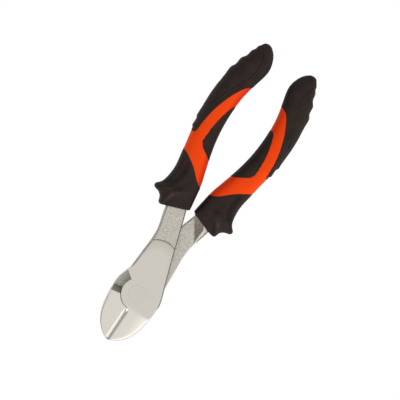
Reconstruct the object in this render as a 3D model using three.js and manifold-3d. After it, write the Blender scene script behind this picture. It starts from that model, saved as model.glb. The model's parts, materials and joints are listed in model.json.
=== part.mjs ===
// Diagonal cutting pliers, 180 mm long: two lapped steel halves on a flush rivet, each in a two-material grip.
// Millimetres. +Z is out of the front joint face, +Y runs from the pivot to the handle ends, +X is to the right.
// The origin is the centre of the rivet's rear end face. Both halves are drawn about the lap plane, as the
// front half lies: its boss in front, its shank and grip to the left. The rear half is that turned about Y.
import * as THREE from 'three';
import { mergeVertices } from 'three/addons/utils/BufferGeometryUtils.js';
import Module from 'manifold-3d';

const wasm = await Module();
wasm.setup();

// Driving dimensions.
const PIVOT_TO_TIP = 29.2;
const PIVOT_TO_HANDLE_END = 151.2;
const JOINT_HALF_THICKNESS = 6;
const SHANK_HALF_THICKNESS = 5.5;
const TANG_HALF_THICKNESS = 3;
const LAP_CLEARANCE = 0.1; // each half's lap face stands back this far from the lap plane
const DISC_RADIUS = 8.9; // round shoulder of the boss, which turns in the other jaw
const DISC_SEAT_RADIUS = 9.15;
const DISC_START = 144.6; // degrees round from +X, at the shoulder that stops the opening
const DISC_END = 269.4;
const SHOULDER_FOOT_Y = -1.3; // where the jaw's sloping shoulder meets the lap plane
const SHOULDER_TOP_Y = -4.9;
const EDGE_CLEARANCE = 0.06; // each cutting edge stands back this far from the centre plane
const EDGE_ROOT_Y = -10.4;
const EDGE_NOTCH_Y = -9.9; // centre of the round notch that ends both edges
const EDGE_NOTCH_RADIUS = 0.75;
const EDGE_DEPTH = 0.9; // of the edge line below the front jaw faces
const FRONT_BEVEL_WIDTH = 1.15;
const RELIEF_HALF_WIDTH = 3.4; // widest half of the hollow behind the edges
const JAW_TAPER_START_Y = -8.3;
const JAW_TIP_HALF_THICKNESS = 3;
const RIVET_RADIUS = 4;
const RIVET_END_RADIUS = 5;
const RIVET_END_DEPTH = 1.2;
const RIVET_CLEARANCE = 0.08;
const FIT_GAP = 0.3; // between touching pieces
const SOFT_THICKNESS = 1.3; // of the soft zones over the hard core
const FRONT_WALL = 1.6; // of the collar over the core's front end
const ROUND_SEGMENTS = 48;
const CURVE_SEGMENTS = 3;
const STATION_STEP = 1.8; // between a grip's first stations
const CORE_END_STATION = 20.7;
const GUARD_STATIONS = 6; // the first ones, where the sections lie twice as close
const RING_POINTS = 16;
const BOXY_EXPONENT = 4.5; // of the sections at the front end, where the collar is squarest
const ROUND_EXPONENT = 2.5;
const ROUND_FROM_STATION = 7;

// ---------------------------------------------------------------- outlines, as the front half lies
const JAW_OUTER_EDGE = [
  [0.7, -PIVOT_TO_TIP], [3.2, -28.1], [6, -26], [9, -22.6], [11.4, -17.8], [12.9, -12.4], [13.6, -6.5], [13.75, -1],
  [13.5, 2.2], [12.6, 6], [11.4, 9.2], [10.2, 12],
];
const SHANK_INNER_EDGE = [[8.9, 15.6], [7.5, 19.8], [5.9, 24.6], [4.3, 29.6], [2.7, 34.8], [1, 40.2], [-0.6, 45.2], [-2.2, 50]];
const SHANK_OUTER_EDGE = [[-13.4, 49], [-12, 43.6], [-10.6, 38.4], [-9.9, 34], [-9.8, 28], [-10.1, 20], [-10.7, 12], [-11.1, 8.1]];
const SHANK_HEEL = [[-4.4, 56.5], [-14.6, 56.5]];
const TANG_INNER_EDGE = [[-4, 52], [-6.6, 62], [-9.6, 73], [-12.4, 84], [-14.4, 95], [-15.2, 106], [-15, 116], [-13.9, 125]];
const TANG_OUTER_EDGE = [[-19.4, 126], [-21, 116], [-21.3, 106], [-20.6, 95], [-18.8, 84], [-16.6, 73], [-14.8, 62], [-13.6, 52]];
const BOSS_END_ARC = { x: -1.4, y: 20.7, radius: 11.4 }; // the boss's step down to the shank
const RAMP_FOOT = [[-3, 51.5], [-10.2, 40.8]]; // where the shank's rise to full thickness starts
const RAMP_LENGTH = 4.6;

// A grip's rails run from its front end to its tail, with its half thickness beside them: [x, y] out from the
// centre plane, inner then outer. The outer rail makes the guard, with its scooped corner and its wing.
const GRIP_STATIONS = [
  [[1.7, 53.2], [17.1, 47.9], 8.0], [[1.9, 55], [18, 50.6], 8.3], [[2.1, 56.8], [20, 53.2], 8.6], [[2.4, 58.6], [24, 54.4], 8.7],
  [[2.7, 60.6], [24.2, 56.3], 8.5], [[3.1, 63], [22, 59.2], 8], [[3.7, 66], [20.8, 63.5], 7.6], [[4.6, 70], [20.4, 69], 7.5],
  [[6.2, 75.5], [21, 75], 7.6], [[8.1, 82], [22, 81.5], 7.9], [[9.6, 88], [23.3, 88], 8], [[10.8, 94], [24.8, 94], 8.1],
  [[11.6, 101], [25.9, 101], 8.2], [[12, 109], [26.5, 109], 8.2], [[11.8, 117], [26.3, 117], 8.1], [[11, 124], [25.6, 124], 7.9],
  [[9.5, 130.5], [24.9, 130.5], 7.6], [[8, 135.5], [23.2, 136], 7.2], [[7.4, 140], [21.8, 140.5], 6.6], [[8.2, 144], [20.4, 144.5], 5.9],
  [[10.2, 147.6], [18.9, 148], 4.8], [[12.4, 150.1], [17, 150.2], 3.2], [[14, PIVOT_TO_HANDLE_END], [15.6, PIVOT_TO_HANDLE_END], 1.2],
];
// Where the soft zones end on the hard core, seen from the front.
const COLLAR_EDGE = [[24, 79.6], [22, 79], [19.4, 77.8], [16.4, 76], [13.2, 73.4], [10, 70.2], [7, 67.6], [4.4, 66.3], [1, 65.8]];
const PALM_EDGE = [[28, 90.2], [23.4, 90.2], [22.4, 91.4], [22.1, 97], [21.1, 105], [19.2, 112], [16.8, 118], [14, 123.4], [11.6, 126.4], [9, 127.6], [5, 128]];
const PAD_EDGE = [[5, 81], [8.4, 82.2], [12.2, 84.2], [15.2, 86.4], [16.5, 89.6], [16.6, 96], [15.9, 102.5], [14.6, 108], [13, 112.4], [11.8, 113.8], [8, 114.2]];

// ---------------------------------------------------------------- helpers
const left = ([x, y]) => new THREE.Vector2(-x, y);
const point = ([x, y]) => new THREE.Vector2(x, y);

/** A closed geometry as a solid, with its shared vertices merged and its faces turned outwards. */
function solid(geometry) {
  const bare = geometry.clone().deleteAttribute('normal').deleteAttribute('uv');
  const merged = mergeVertices(bare, 1e-4);
  const triVerts = new Uint32Array(merged.index.array);
  const made = new wasm.Manifold(
    new wasm.Mesh({ numProp: 3, vertProperties: merged.attributes.position.array, triVerts }),
  );
  if (made.volume() > 0) return made;
  return new wasm.Manifold(
    new wasm.Mesh({ numProp: 3, vertProperties: merged.attributes.position.array, triVerts: triVerts.reverse() }),
  );
}

/** A solid as a geometry that a mesh can hold. */
function geometryOf(made) {
  const { vertProperties, triVerts } = made.getMesh();
  const geometry = new THREE.BufferGeometry();
  geometry.setAttribute('position', new THREE.BufferAttribute(vertProperties, 3));
  geometry.setIndex(new THREE.BufferAttribute(triVerts, 1));
  return geometry;
}

/** The solid of a plan shape between two heights. */
function prism(shape, low, high) {
  const geometry = new THREE.ExtrudeGeometry(shape, {
    depth: high - low, bevelEnabled: false, curveSegments: CURVE_SEGMENTS,
  });
  return solid(geometry.translate(0, 0, low));
}

/** A plan shape with straight sides. */
const polygon = (corners) => new THREE.Shape(corners.map(point));

/** The points of a plan arc, in degrees; a whole circle unless told otherwise. */
function arc(x, y, radius, from = 0, to = 360) {
  const curve = new THREE.EllipseCurve(x, y, radius, radius, THREE.MathUtils.degToRad(from), THREE.MathUtils.degToRad(to));
  return curve.getPoints(Math.ceil((ROUND_SEGMENTS * Math.abs(to - from)) / 360));
}

/** A plan shape of vectors, with each side pushed out by a distance. */
function grown(outline, distance) {
  const turn = THREE.ShapeUtils.isClockWise(outline) ? -1 : 1;
  const sideNormal = (from, to) => {
    const along = to.clone().sub(from).normalize();
    return new THREE.Vector2(along.y, -along.x).multiplyScalar(turn);
  };
  const longestMitre = 2; // times the distance
  const moved = outline.map((corner, i) => {
    const before = sideNormal(outline.at(i - 1), corner);
    const after = sideNormal(corner, outline[(i + 1) % outline.length]);
    const mitre = before.clone().add(after).normalize();
    return corner.clone().addScaledVector(mitre, distance * Math.min(1 / mitre.dot(after), longestMitre));
  });
  return new THREE.Shape(moved);
}

/** The solid through a row of rings of as many points each, closed at both ends. */
function loft(rings) {
  const count = rings[0].length;
  const centres = [rings[0], rings.at(-1)].map((ring) =>
    ring.reduce((sum, p) => sum.add(p), new THREE.Vector3()).divideScalar(count));
  const corners = [...rings.flat(), ...centres].flatMap((p) => [p.x, p.y, p.z]);
  const faces = [];
  const firstCentre = rings.length * count;
  for (let k = 0; k < count; k += 1) {
    const next = (k + 1) % count;
    const last = (rings.length - 1) * count;
    for (let i = 0; i < rings.length - 1; i += 1) {
      const near = i * count;
      const far = near + count;
      faces.push(near + k, near + next, far + next, near + k, far + next, far + k);
    }
    faces.push(firstCentre, next, k, firstCentre + 1, last + k, last + next);
  }
  const geometry = new THREE.BufferGeometry();
  geometry.setAttribute('position', new THREE.Float32BufferAttribute(corners, 3));
  geometry.setIndex(faces);
  return solid(geometry);
}

/** The solid of a wedge section, drawn as [across, height], swept both ways along a plan line. */
function sweptWedge(section, [start, end]) {
  const [from, to] = [point(start), point(end)];
  const along = to.clone().sub(from).normalize();
  const across = new THREE.Vector2(along.y, -along.x);
  const reach = 40;
  const ring = (distance) => section.map(([side, height]) => {
    const place = from.clone().addScaledVector(along, distance).addScaledVector(across, side);
    return new THREE.Vector3(place.x, place.y, height);
  });
  return loft([ring(-reach), ring(reach + from.distanceTo(to))]);
}

// ---------------------------------------------------------------- the steel halves
/** The front half's whole outline, from its cutting edge round to its disc. */
function halfOutline() {
  const outline = new THREE.Shape();
  outline.moveTo(EDGE_CLEARANCE, -DISC_RADIUS);
  outline.lineTo(EDGE_CLEARANCE, -PIVOT_TO_TIP);
  outline.lineTo(...JAW_OUTER_EDGE[0]);
  outline.splineThru(JAW_OUTER_EDGE.slice(1).map(point));
  outline.splineThru(SHANK_INNER_EDGE.map(point));
  SHANK_HEEL.forEach((corner) => outline.lineTo(...corner));
  outline.splineThru(SHANK_OUTER_EDGE.map(point));
  arc(0, 0, DISC_RADIUS, DISC_START, DISC_END).forEach(({ x, y }) => outline.lineTo(x, y));
  return outline;
}

/** The outline of the tang that the grip holds, grown by a clearance. */
function tangOutline(clearance) {
  const inner = new THREE.SplineCurve(TANG_INNER_EDGE.map(point)).getPoints(12);
  const outer = new THREE.SplineCurve(TANG_OUTER_EDGE.map(point)).getPoints(12);
  return grown([...inner, ...outer], clearance);
}

/** The room behind the lap plane that the other half takes: its disc, its boss and its shank's start. */
function lapRoom() {
  const deep = -2 * JOINT_HALF_THICKNESS;
  const seat = new THREE.Shape(arc(0, 0, DISC_SEAT_RADIUS));
  const beyondShoulder = sweptWedge(
    [[SHOULDER_FOOT_Y, LAP_CLEARANCE], [SHOULDER_TOP_Y, -JOINT_HALF_THICKNESS], [2 * SHOULDER_TOP_Y - SHOULDER_FOOT_Y, deep], [80, deep], [80, LAP_CLEARANCE]]
      .map(([y, z]) => [-y, z]),
    [[20, 0], [-20, 0]].map(([x, y]) => [-x, y]),
  );
  const beforeRamp = sweptWedge(
    [[0, LAP_CLEARANCE], [RAMP_LENGTH, -SHANK_HALF_THICKNESS], [3 * RAMP_LENGTH, deep], [-90, deep], [-90, LAP_CLEARANCE]],
    RAMP_FOOT,
  );
  return prism(seat, deep, LAP_CLEARANCE).add(beyondShoulder.intersect(beforeRamp));
}

/** What the jaw's slope takes off one face: a wedge that is thickest past the tip. */
function jawSlope(side) {
  const drop = JOINT_HALF_THICKNESS - JAW_TIP_HALF_THICKNESS;
  const reach = 2; // times the jaw's own length
  const tipY = JAW_TAPER_START_Y + reach * (-PIVOT_TO_TIP - JAW_TAPER_START_Y);
  const section = [
    [JAW_TAPER_START_Y, JOINT_HALF_THICKNESS], [tipY, JOINT_HALF_THICKNESS - reach * drop],
    [tipY, JOINT_HALF_THICKNESS + 2], [JAW_TAPER_START_Y, JOINT_HALF_THICKNESS + 2],
  ].map(([y, z]) => [-y, side * z]);
  return sweptWedge(section, [[-20, 0], [20, 0]]);
}

/** Half the jaw's thickness at a place along it. */
function jawHalfThickness(y) {
  const share = (JAW_TAPER_START_Y - y) / (JAW_TAPER_START_Y + PIVOT_TO_TIP);
  return THREE.MathUtils.lerp(JOINT_HALF_THICKNESS, JAW_TIP_HALF_THICKNESS, share);
}

/** What is ground away to leave the edge: a narrow bevel on the tool's front, a wide hollow behind. */
function edgeGrinding(side) {
  const places = [EDGE_ROOT_Y + 0.9, EDGE_ROOT_Y, -13, -16, -19, -22, -25, -27.5, -PIVOT_TO_TIP - 1];
  const far = 2 * JOINT_HALF_THICKNESS;
  const hollow = places.map((y) => {
    const share = THREE.MathUtils.clamp((EDGE_ROOT_Y + 0.9 - y) / (PIVOT_TO_TIP + EDGE_ROOT_Y + 1), 0, 1);
    const half = 0.5 + (RELIEF_HALF_WIDTH - 0.5) * Math.sin(Math.PI * share) ** 0.7;
    const edgeZ = jawHalfThickness(y) - EDGE_DEPTH;
    return [[0, edgeZ], [half, edgeZ - 1.1 * half], [half, -far], [-half, -far], [-half, edgeZ - 1.1 * half]]
      .map(([x, z]) => new THREE.Vector3(x, y, side * z));
  });
  const bevel = [places[0], places.at(-1)].map((y) => {
    const faceZ = jawHalfThickness(y);
    const edgeZ = faceZ - EDGE_DEPTH;
    return [[0, edgeZ], [FRONT_BEVEL_WIDTH, faceZ], [FRONT_BEVEL_WIDTH, faceZ + 1], [-1, faceZ + 1], [-1, edgeZ]]
      .map(([x, z]) => new THREE.Vector3(x, y, side * z));
  });
  return loft(hollow).add(loft(bevel));
}

/** The rivet's solid of revolution about Z, grown by a clearance and centred on the lap plane. */
function rivetSolid(clearance, halfLength) {
  const shaft = RIVET_RADIUS + clearance;
  const end = RIVET_END_RADIUS + clearance;
  const coneStart = JOINT_HALF_THICKNESS - RIVET_END_DEPTH;
  const profile = [
    [0, -halfLength], [end, -halfLength], [end, -JOINT_HALF_THICKNESS], [shaft, -coneStart], [shaft, coneStart],
    [end, JOINT_HALF_THICKNESS], [end, halfLength], [0, halfLength],
  ].filter(([r, z], i, all) => i === 0 || r !== all[i - 1][0] || z !== all[i - 1][1]);
  return solid(new THREE.LatheGeometry(profile.map(point), ROUND_SEGMENTS).rotateX(Math.PI / 2));
}

/** One steel half as the front half lies. edgeSide is 1 where the edge's narrow bevel is on +Z. */
function steelHalf(edgeSide) {
  const blank = prism(halfOutline(), -JOINT_HALF_THICKNESS, JOINT_HALF_THICKNESS);
  const { x, y, radius } = BOSS_END_ARC;
  const beyondBoss = prism(polygon([[-40, 22], [40, 22], [40, 70], [-40, 70]]), -20, 20)
    .subtract(prism(new THREE.Shape(arc(x, y, radius)), -21, 21));
  const slab = (low, high) => prism(polygon([[-40, 0], [40, 0], [40, 70], [-40, 70]]), low, high);
  const overShank = slab(SHANK_HALF_THICKNESS, 20).intersect(beyondBoss);
  const underShank = slab(-20, -SHANK_HALF_THICKNESS);
  const edgeNotch = prism(new THREE.Shape(arc(0, EDGE_NOTCH_Y, EDGE_NOTCH_RADIUS)), -20, 20);
  return blank
    .subtract(lapRoom())
    .subtract(overShank)
    .subtract(underShank)
    .subtract(jawSlope(1))
    .subtract(jawSlope(-1))
    .subtract(edgeGrinding(edgeSide))
    .subtract(edgeNotch)
    .subtract(rivetSolid(RIVET_CLEARANCE, JOINT_HALF_THICKNESS + 2))
    .add(prism(tangOutline(0), -TANG_HALF_THICKNESS, TANG_HALF_THICKNESS));
}

// ---------------------------------------------------------------- the grips
/** A grip's outer form, drawn in by a distance, between two places counted in stations. */
function gripForm(inset, firstStation = 0, lastStation = GRIP_STATIONS.length - 1) {
  const inner = new THREE.SplineCurve(GRIP_STATIONS.map(([rail]) => left(rail)));
  const outer = new THREE.SplineCurve(GRIP_STATIONS.map(([, rail]) => left(rail)));
  const thickness = new THREE.SplineCurve(GRIP_STATIONS.map(([, , half], i) => new THREE.Vector2(i, half)));
  const whole = GRIP_STATIONS.map((_, i) => i);
  const between = whole.slice(0, GUARD_STATIONS).map((i) => i + 0.5);
  const inside = [...whole, ...between].filter((i) => i > firstStation && i < lastStation).sort((a, b) => a - b);
  const rings = [firstStation, ...inside, lastStation].map((station) => {
    const t = station / (GRIP_STATIONS.length - 1);
    const near = inner.getPoint(t);
    const far = outer.getPoint(t);
    const reach = far.clone().sub(near).multiplyScalar(0.5);
    const middle = near.add(far).multiplyScalar(0.5);
    const roundness = THREE.MathUtils.smoothstep(station, 0, ROUND_FROM_STATION);
    const exponent = THREE.MathUtils.lerp(BOXY_EXPONENT, ROUND_EXPONENT, roundness);
    return sectionRing(middle, reach.setLength(reach.length() - inset), thickness.getPoint(t).y - inset, exponent);
  });
  return loft(rings);
}

/** A rounded section: a superellipse across the reach, squarer the higher its exponent. */
function sectionRing(middle, reach, height, exponent) {
  const bent = (value) => Math.sign(value) * Math.abs(value) ** (2 / exponent);
  return Array.from({ length: RING_POINTS }, (_, k) => {
    const angle = (2 * Math.PI * (k + 0.5)) / RING_POINTS;
    const across = bent(Math.cos(angle));
    return new THREE.Vector3(
      middle.x + reach.x * across, middle.y + reach.y * across, height * bent(Math.sin(angle)),
    );
  });
}

/** A soft zone's plan outline: its edge on the core, closed by corners that lie outside the grip. */
function zoneOutline(edge, corners) {
  const curve = new THREE.SplineCurve(edge.map(left)).getPoints(3 * edge.length);
  return [...curve, ...corners.map(left)];
}

const SOFT_ZONES = {
  collar: zoneOutline(COLLAR_EDGE, [[-6, 60], [-6, 40], [40, 40], [40, 79.6]]),
  palm_shell: zoneOutline(PALM_EDGE, [[-6, 128], [-6, 170], [40, 170], [40, 90.2]]),
  inner_pad: zoneOutline(PAD_EDGE, [[-4, 114], [-4, 81]]),
};

/** The hollow that the shank's heel and the tang fill. */
function tangHollow() {
  const heel = [...SHANK_OUTER_EDGE.slice(0, 2), [-1.4, 45.4], SHANK_INNER_EDGE.at(-1), ...SHANK_HEEL].map(point);
  const high = SHANK_HALF_THICKNESS + FIT_GAP;
  const flat = TANG_HALF_THICKNESS + FIT_GAP;
  return prism(grown(heel, FIT_GAP), -high, high).add(prism(tangOutline(FIT_GAP), -flat, flat));
}

/** A grip's hard core and its soft zones as solids, by name. */
function gripSolids() {
  const outer = gripForm(0, 0);
  const softFloor = gripForm(SOFT_THICKNESS, FRONT_WALL / STATION_STEP, CORE_END_STATION + 0.2);
  const coreTop = gripForm(SOFT_THICKNESS + FIT_GAP, (FRONT_WALL + FIT_GAP) / STATION_STEP, CORE_END_STATION);
  const hollow = tangHollow();
  const made = {};
  let core = outer;
  for (const [name, outline] of Object.entries(SOFT_ZONES)) {
    const zone = prism(grown(outline, 0), -30, 30);
    const pocket = prism(grown(outline, FIT_GAP), -31, 31);
    made[name] = outer.intersect(zone).subtract(softFloor).subtract(hollow);
    core = core.subtract(pocket.subtract(coreTop));
  }
  made.core = core.subtract(hollow);
  return made;
}

// ---------------------------------------------------------------- materials and the assembly
const steel = new THREE.MeshStandardMaterial({ color: 0xc9c6bf, roughness: 0.35, metalness: 1 });
const rivetSteel = new THREE.MeshStandardMaterial({ color: 0xc4c0b8, roughness: 0.3, metalness: 1 });
const hardPlastic = new THREE.MeshStandardMaterial({ color: 0xe8440f, roughness: 0.42, metalness: 0 });
const softPlastic = new THREE.MeshStandardMaterial({ color: 0x2f2725, roughness: 0.7, metalness: 0 });

/** A named mesh of a solid. */
function piece(name, made, material) {
  const mesh = new THREE.Mesh(geometryOf(made), material);
  mesh.name = name;
  return mesh;
}

const grip = gripSolids();

/** One half with its grip, in a group of its own. */
function half(side, gripSide, edgeSide) {
  const group = new THREE.Group();
  group.add(piece(`${side}_jaw_half`, steelHalf(edgeSide), steel));
  for (const [name, made] of Object.entries(grip)) {
    group.add(piece(`${gripSide}_grip_${name}`, made, name === 'core' ? hardPlastic : softPlastic));
  }
  return group;
}

const frontHalf = half('front', 'left', 1);
const rearHalf = half('rear', 'right', -1);
rearHalf.rotation.y = Math.PI;
rearHalf.add(piece('pivot_rivet', rivetSolid(0, JOINT_HALF_THICKNESS), rivetSteel));

const pliers = new THREE.Group();
pliers.add(frontHalf, rearHalf);
pliers.position.z = JOINT_HALF_THICKNESS;

export default pliers;
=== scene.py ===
"""Diagonal cutting pliers: the surfaces, finishes, light and camera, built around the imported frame.

Each steel half is one surface: a closed section carried from the jaw's tip to the tang's end. Each grip is
a rounded section carried between two rails, and its hard core and soft zones are parts of that one form.
Shapes are worked out in millimetres as the front half lies, about the lap plane, and the rear half is the
same turned about +Y.
"""

from __future__ import annotations

import json
import logging
import math
from collections.abc import Callable, Sequence
from dataclasses import dataclass, field
from enum import Enum

import bmesh
import bpy
import numpy as np
from mathutils import Matrix, Vector

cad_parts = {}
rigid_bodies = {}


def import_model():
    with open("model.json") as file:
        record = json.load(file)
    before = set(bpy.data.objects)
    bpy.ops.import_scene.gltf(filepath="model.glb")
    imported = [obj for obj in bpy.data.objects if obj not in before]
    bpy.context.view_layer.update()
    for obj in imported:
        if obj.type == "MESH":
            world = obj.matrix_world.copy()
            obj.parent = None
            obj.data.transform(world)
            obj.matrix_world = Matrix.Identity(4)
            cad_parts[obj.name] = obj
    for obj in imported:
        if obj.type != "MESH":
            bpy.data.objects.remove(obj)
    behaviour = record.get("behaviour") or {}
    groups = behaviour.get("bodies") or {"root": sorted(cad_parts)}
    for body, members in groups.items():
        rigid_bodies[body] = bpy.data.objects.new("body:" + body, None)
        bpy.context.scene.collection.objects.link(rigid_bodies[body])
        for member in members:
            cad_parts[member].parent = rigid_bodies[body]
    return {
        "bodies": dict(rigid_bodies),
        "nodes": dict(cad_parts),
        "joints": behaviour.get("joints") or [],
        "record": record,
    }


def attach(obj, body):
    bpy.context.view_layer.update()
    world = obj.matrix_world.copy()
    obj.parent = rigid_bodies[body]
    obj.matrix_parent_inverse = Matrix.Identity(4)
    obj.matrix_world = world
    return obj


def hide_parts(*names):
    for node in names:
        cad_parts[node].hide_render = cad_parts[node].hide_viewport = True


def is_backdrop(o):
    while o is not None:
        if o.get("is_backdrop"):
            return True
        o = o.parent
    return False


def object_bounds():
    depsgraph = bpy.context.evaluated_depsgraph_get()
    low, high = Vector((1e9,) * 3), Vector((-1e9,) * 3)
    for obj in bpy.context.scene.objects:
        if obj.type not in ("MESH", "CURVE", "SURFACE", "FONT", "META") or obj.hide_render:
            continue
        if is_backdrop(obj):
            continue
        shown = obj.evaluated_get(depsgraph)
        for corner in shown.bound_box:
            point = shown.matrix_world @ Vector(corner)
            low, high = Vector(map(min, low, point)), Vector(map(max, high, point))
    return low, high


MM = 0.001
SHARP_ANGLE = math.radians(32)
MERGE_DISTANCE = 2e-3 * MM
SLIVER = 1e-3 * MM
# The mark holds the steel's finishes, and painted shade and painted highlight on the steel's edges and on the
# grips.
FINISH_AND_SHADE = "finish_and_shade"  # the number at each point of a mesh that its finish reads
CORNER_STEPS = 9

log = logging.getLogger("pliers")


# ------------------------------------------------------------------------ numbers and curves
def smooth(value: np.ndarray, low: float, high: float) -> np.ndarray:
    """Ease from 0 at low to 1 at high: 3t^2 - 2t^3 of the share t of the way.

    Args:
        value: where to work it out.
        low: the value at which the result is 0.
        high: the value at which the result is 1.

    Returns:
        An array of shares, from 0 to 1.
    """
    share = np.clip((value - low) / (high - low), 0, 1)
    return share * share * (3 - 2 * share)


@dataclass(frozen=True)
class PlanCurve:
    """A smooth curve through plan points, each an (x, y) in millimetres."""

    points: tuple[tuple[float, ...], ...]

    def at(self, place: np.ndarray) -> np.ndarray:
        """Points on the curve: between two points, the cubic whose slopes are half its neighbours' steps.

        Args:
            place: places counted in points, from 0 to the last point's number.

        Returns:
            An array of one row for each place.
        """
        known = np.asarray(self.points, float)
        known = np.vstack([2 * known[0] - known[1], known, 2 * known[-1] - known[-2]])
        place = np.clip(place, 0, len(self.points) - 1)
        first = np.minimum(place.astype(int), len(self.points) - 2)
        t = (place - first)[..., None]
        a, b, c, d = (known[first + k] for k in range(4))
        cubic = (3 * b - a - 3 * c + d) * t**3
        return 0.5 * (2 * b + (c - a) * t + (2 * a - 5 * b + 4 * c - d) * t**2 + cubic)

    def dense(self, steps: int = 12) -> np.ndarray:
        """The curve as a row of points, with so many steps between each two of its own."""
        return self.at(np.linspace(0, len(self.points) - 1, steps * (len(self.points) - 1) + 1))

    def x_at(self, y: np.ndarray) -> np.ndarray:
        """The curve's x at each y, where y grows along the curve."""
        row = self.dense()
        return np.interp(y, row[:, 1], row[:, 0])

    def y_at(self, x: np.ndarray) -> np.ndarray:
        """The curve's y at each x, where x grows along the curve."""
        row = self.dense()
        return np.interp(x, row[:, 0], row[:, 1])

    def offset_from(self, x: np.ndarray, y: np.ndarray) -> np.ndarray:
        """Signed plan distance from the curve: to the nearest of its steps, positive to the left of its way.

        Args:
            x: plan x of each place.
            y: plan y of each place, in an array of the same shape.

        Returns:
            The distances, in an array of that shape.
        """
        row = self.dense(5)
        start, step = row[:-1], np.diff(row, axis=0)
        away_x = x.ravel()[:, None] - start[:, 0]
        away_y = y.ravel()[:, None] - start[:, 1]
        share = np.clip((away_x * step[:, 0] + away_y * step[:, 1]) / (step**2).sum(1), 0, 1)
        off_x, off_y = away_x - share * step[:, 0], away_y - share * step[:, 1]
        distance = np.hypot(off_x, off_y)
        nearest = distance.argmin(1)
        rows = np.arange(len(nearest))
        turn = step[nearest, 0] * away_y[rows, nearest] - step[nearest, 1] * away_x[rows, nearest]
        return (np.sign(turn) * distance[rows, nearest]).reshape(x.shape)


def rounded_edge(steps: int) -> tuple[np.ndarray, np.ndarray]:
    """A quarter round of unit size: how far in from the wall and how far below the face each step is."""
    angle = np.linspace(0, math.pi / 2, steps)
    return 1 - np.cos(angle), 1 - np.sin(angle)


def bevelled_edge(steps: int) -> tuple[np.ndarray, np.ndarray]:
    """A unit bevel that eases into the face, with the drop (1 - t)^1.4, given as a round is."""
    share = np.linspace(0, 1, steps)
    return share, (1 - share) ** 1.4


def corner(width: np.ndarray, height: np.ndarray, bevel: np.ndarray | float) -> tuple[np.ndarray, np.ndarray]:
    """A corner of each section: a round, w(1 - cos a) in and h(1 - sin a) off, or a bevel, or between them.

    Args:
        width: how far in from the side it reaches, in a column of sections.
        height: how far off the face it reaches, in such a column.
        bevel: 0 for a round and 1 for a bevel, in such a column or as one number.

    Returns:
        The steps in from the side and the steps off the face, by section and step.
    """
    round_in, round_off = rounded_edge(CORNER_STEPS)
    bevel_in, bevel_off = bevelled_edge(CORNER_STEPS)
    step_in = round_in * (1 - bevel) + bevel_in * bevel
    step_off = round_off * (1 - bevel) + bevel_off * bevel
    return width * step_in, height * step_off


def fitted(
    width: np.ndarray, space: np.ndarray, height: np.ndarray, most: float = 0.42,
) -> tuple[np.ndarray, np.ndarray]:
    """A corner's width and height, shrunk alike where it would take too much of the space across.

    Args:
        width: the wanted width.
        space: the space across.
        height: the wanted height.
        most: the largest share of the space that the width may take.

    Returns:
        The width and the height.
    """
    kept = np.minimum(width, most * space)
    return kept, height * kept / np.maximum(width, 1e-6)


def bridge(before: np.ndarray, after: np.ndarray, steps: int) -> np.ndarray:
    """Even steps from the last column of one block to the first of the next, without those two."""
    return before[:, -1:] + (after[:, :1] - before[:, -1:]) * np.linspace(0, 1, steps)[1:-1]


# ------------------------------------------------------------------------ meshes
@dataclass
class Surface:
    """A closed surface being put together from grids of points, in millimetres in the row frame."""

    points: list[np.ndarray] = field(default_factory=list)
    faces: list[list[int]] = field(default_factory=list)
    marks: list[np.ndarray] = field(default_factory=list)

    def add_tube(self, rings: np.ndarray, marks: np.ndarray | None = None, closed: bool = False) -> None:
        """Add a skin over rings of points, each ring a closed loop.

        Args:
            rings: points by ring, place round the ring, and axis.
            marks: a number for each point that its finish reads, by ring and place; zeros if left out.
            closed: whether the last ring joins the first; the two end rings are capped if not.
        """
        rows, columns = rings.shape[:2]
        offset = sum(len(part) for part in self.points)
        index = offset + np.arange(rows * columns).reshape(rows, columns)
        lower = index if closed else index[:-1]
        upper = np.roll(index, -1, axis=0) if closed else index[1:]
        quads = np.stack([lower, np.roll(lower, -1, 1), np.roll(upper, -1, 1), upper], axis=-1)
        self.faces += quads.reshape(-1, 4).tolist()
        if not closed:
            self.faces += [index[0][::-1].tolist(), index[-1].tolist()]
        self.points.append(rings.reshape(-1, 3))
        self.marks.append(np.zeros(rows * columns) if marks is None else marks.ravel())

    def build(self, name: str) -> bpy.types.Object:
        """Make the mesh object: doubles merged and facing outwards.

        Args:
            name: the piece's name.

        Returns:
            The new object, at the origin.
        """
        mesh = bpy.data.meshes.new(name)
        mesh.from_pydata((np.concatenate(self.points) * MM).tolist(), [], self.faces)
        mark = mesh.attributes.new(FINISH_AND_SHADE, "FLOAT", "POINT")
        mark.data.foreach_set("value", np.concatenate(self.marks).astype(np.float32))
        work = bmesh.new()
        work.from_mesh(mesh)
        bmesh.ops.remove_doubles(work, verts=work.verts, dist=MERGE_DISTANCE)
        bmesh.ops.dissolve_degenerate(work, edges=work.edges, dist=SLIVER)
        bmesh.ops.recalc_face_normals(work, faces=work.faces)
        if work.calc_volume(signed=True) < 0:
            bmesh.ops.reverse_faces(work, faces=work.faces)
        work.to_mesh(mesh)
        work.free()
        piece = bpy.data.objects.new(name, mesh)
        bpy.context.scene.collection.objects.link(piece)
        return piece


def finish_shading(piece: bpy.types.Object) -> None:
    """Shade a piece smooth, with its corners kept sharp."""
    piece.data.shade_smooth()
    piece.data.set_sharp_from_angle(angle=SHARP_ANGLE)


def carve(piece: bpy.types.Object, cutter: bpy.types.Object) -> None:
    """Cut one closed mesh out of another for good, and remove the cutter.

    Args:
        piece: what is cut.
        cutter: the shape that is taken away.
    """
    cut = piece.modifiers.new("carve", "BOOLEAN")
    cut.operation = "DIFFERENCE"
    cut.solver = "EXACT"
    cut.object = cutter
    graph = bpy.context.evaluated_depsgraph_get()
    carved = bpy.data.meshes.new_from_object(piece.evaluated_get(graph))
    piece.modifiers.clear()
    piece.data = carved
    bpy.data.objects.remove(cutter)


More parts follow.
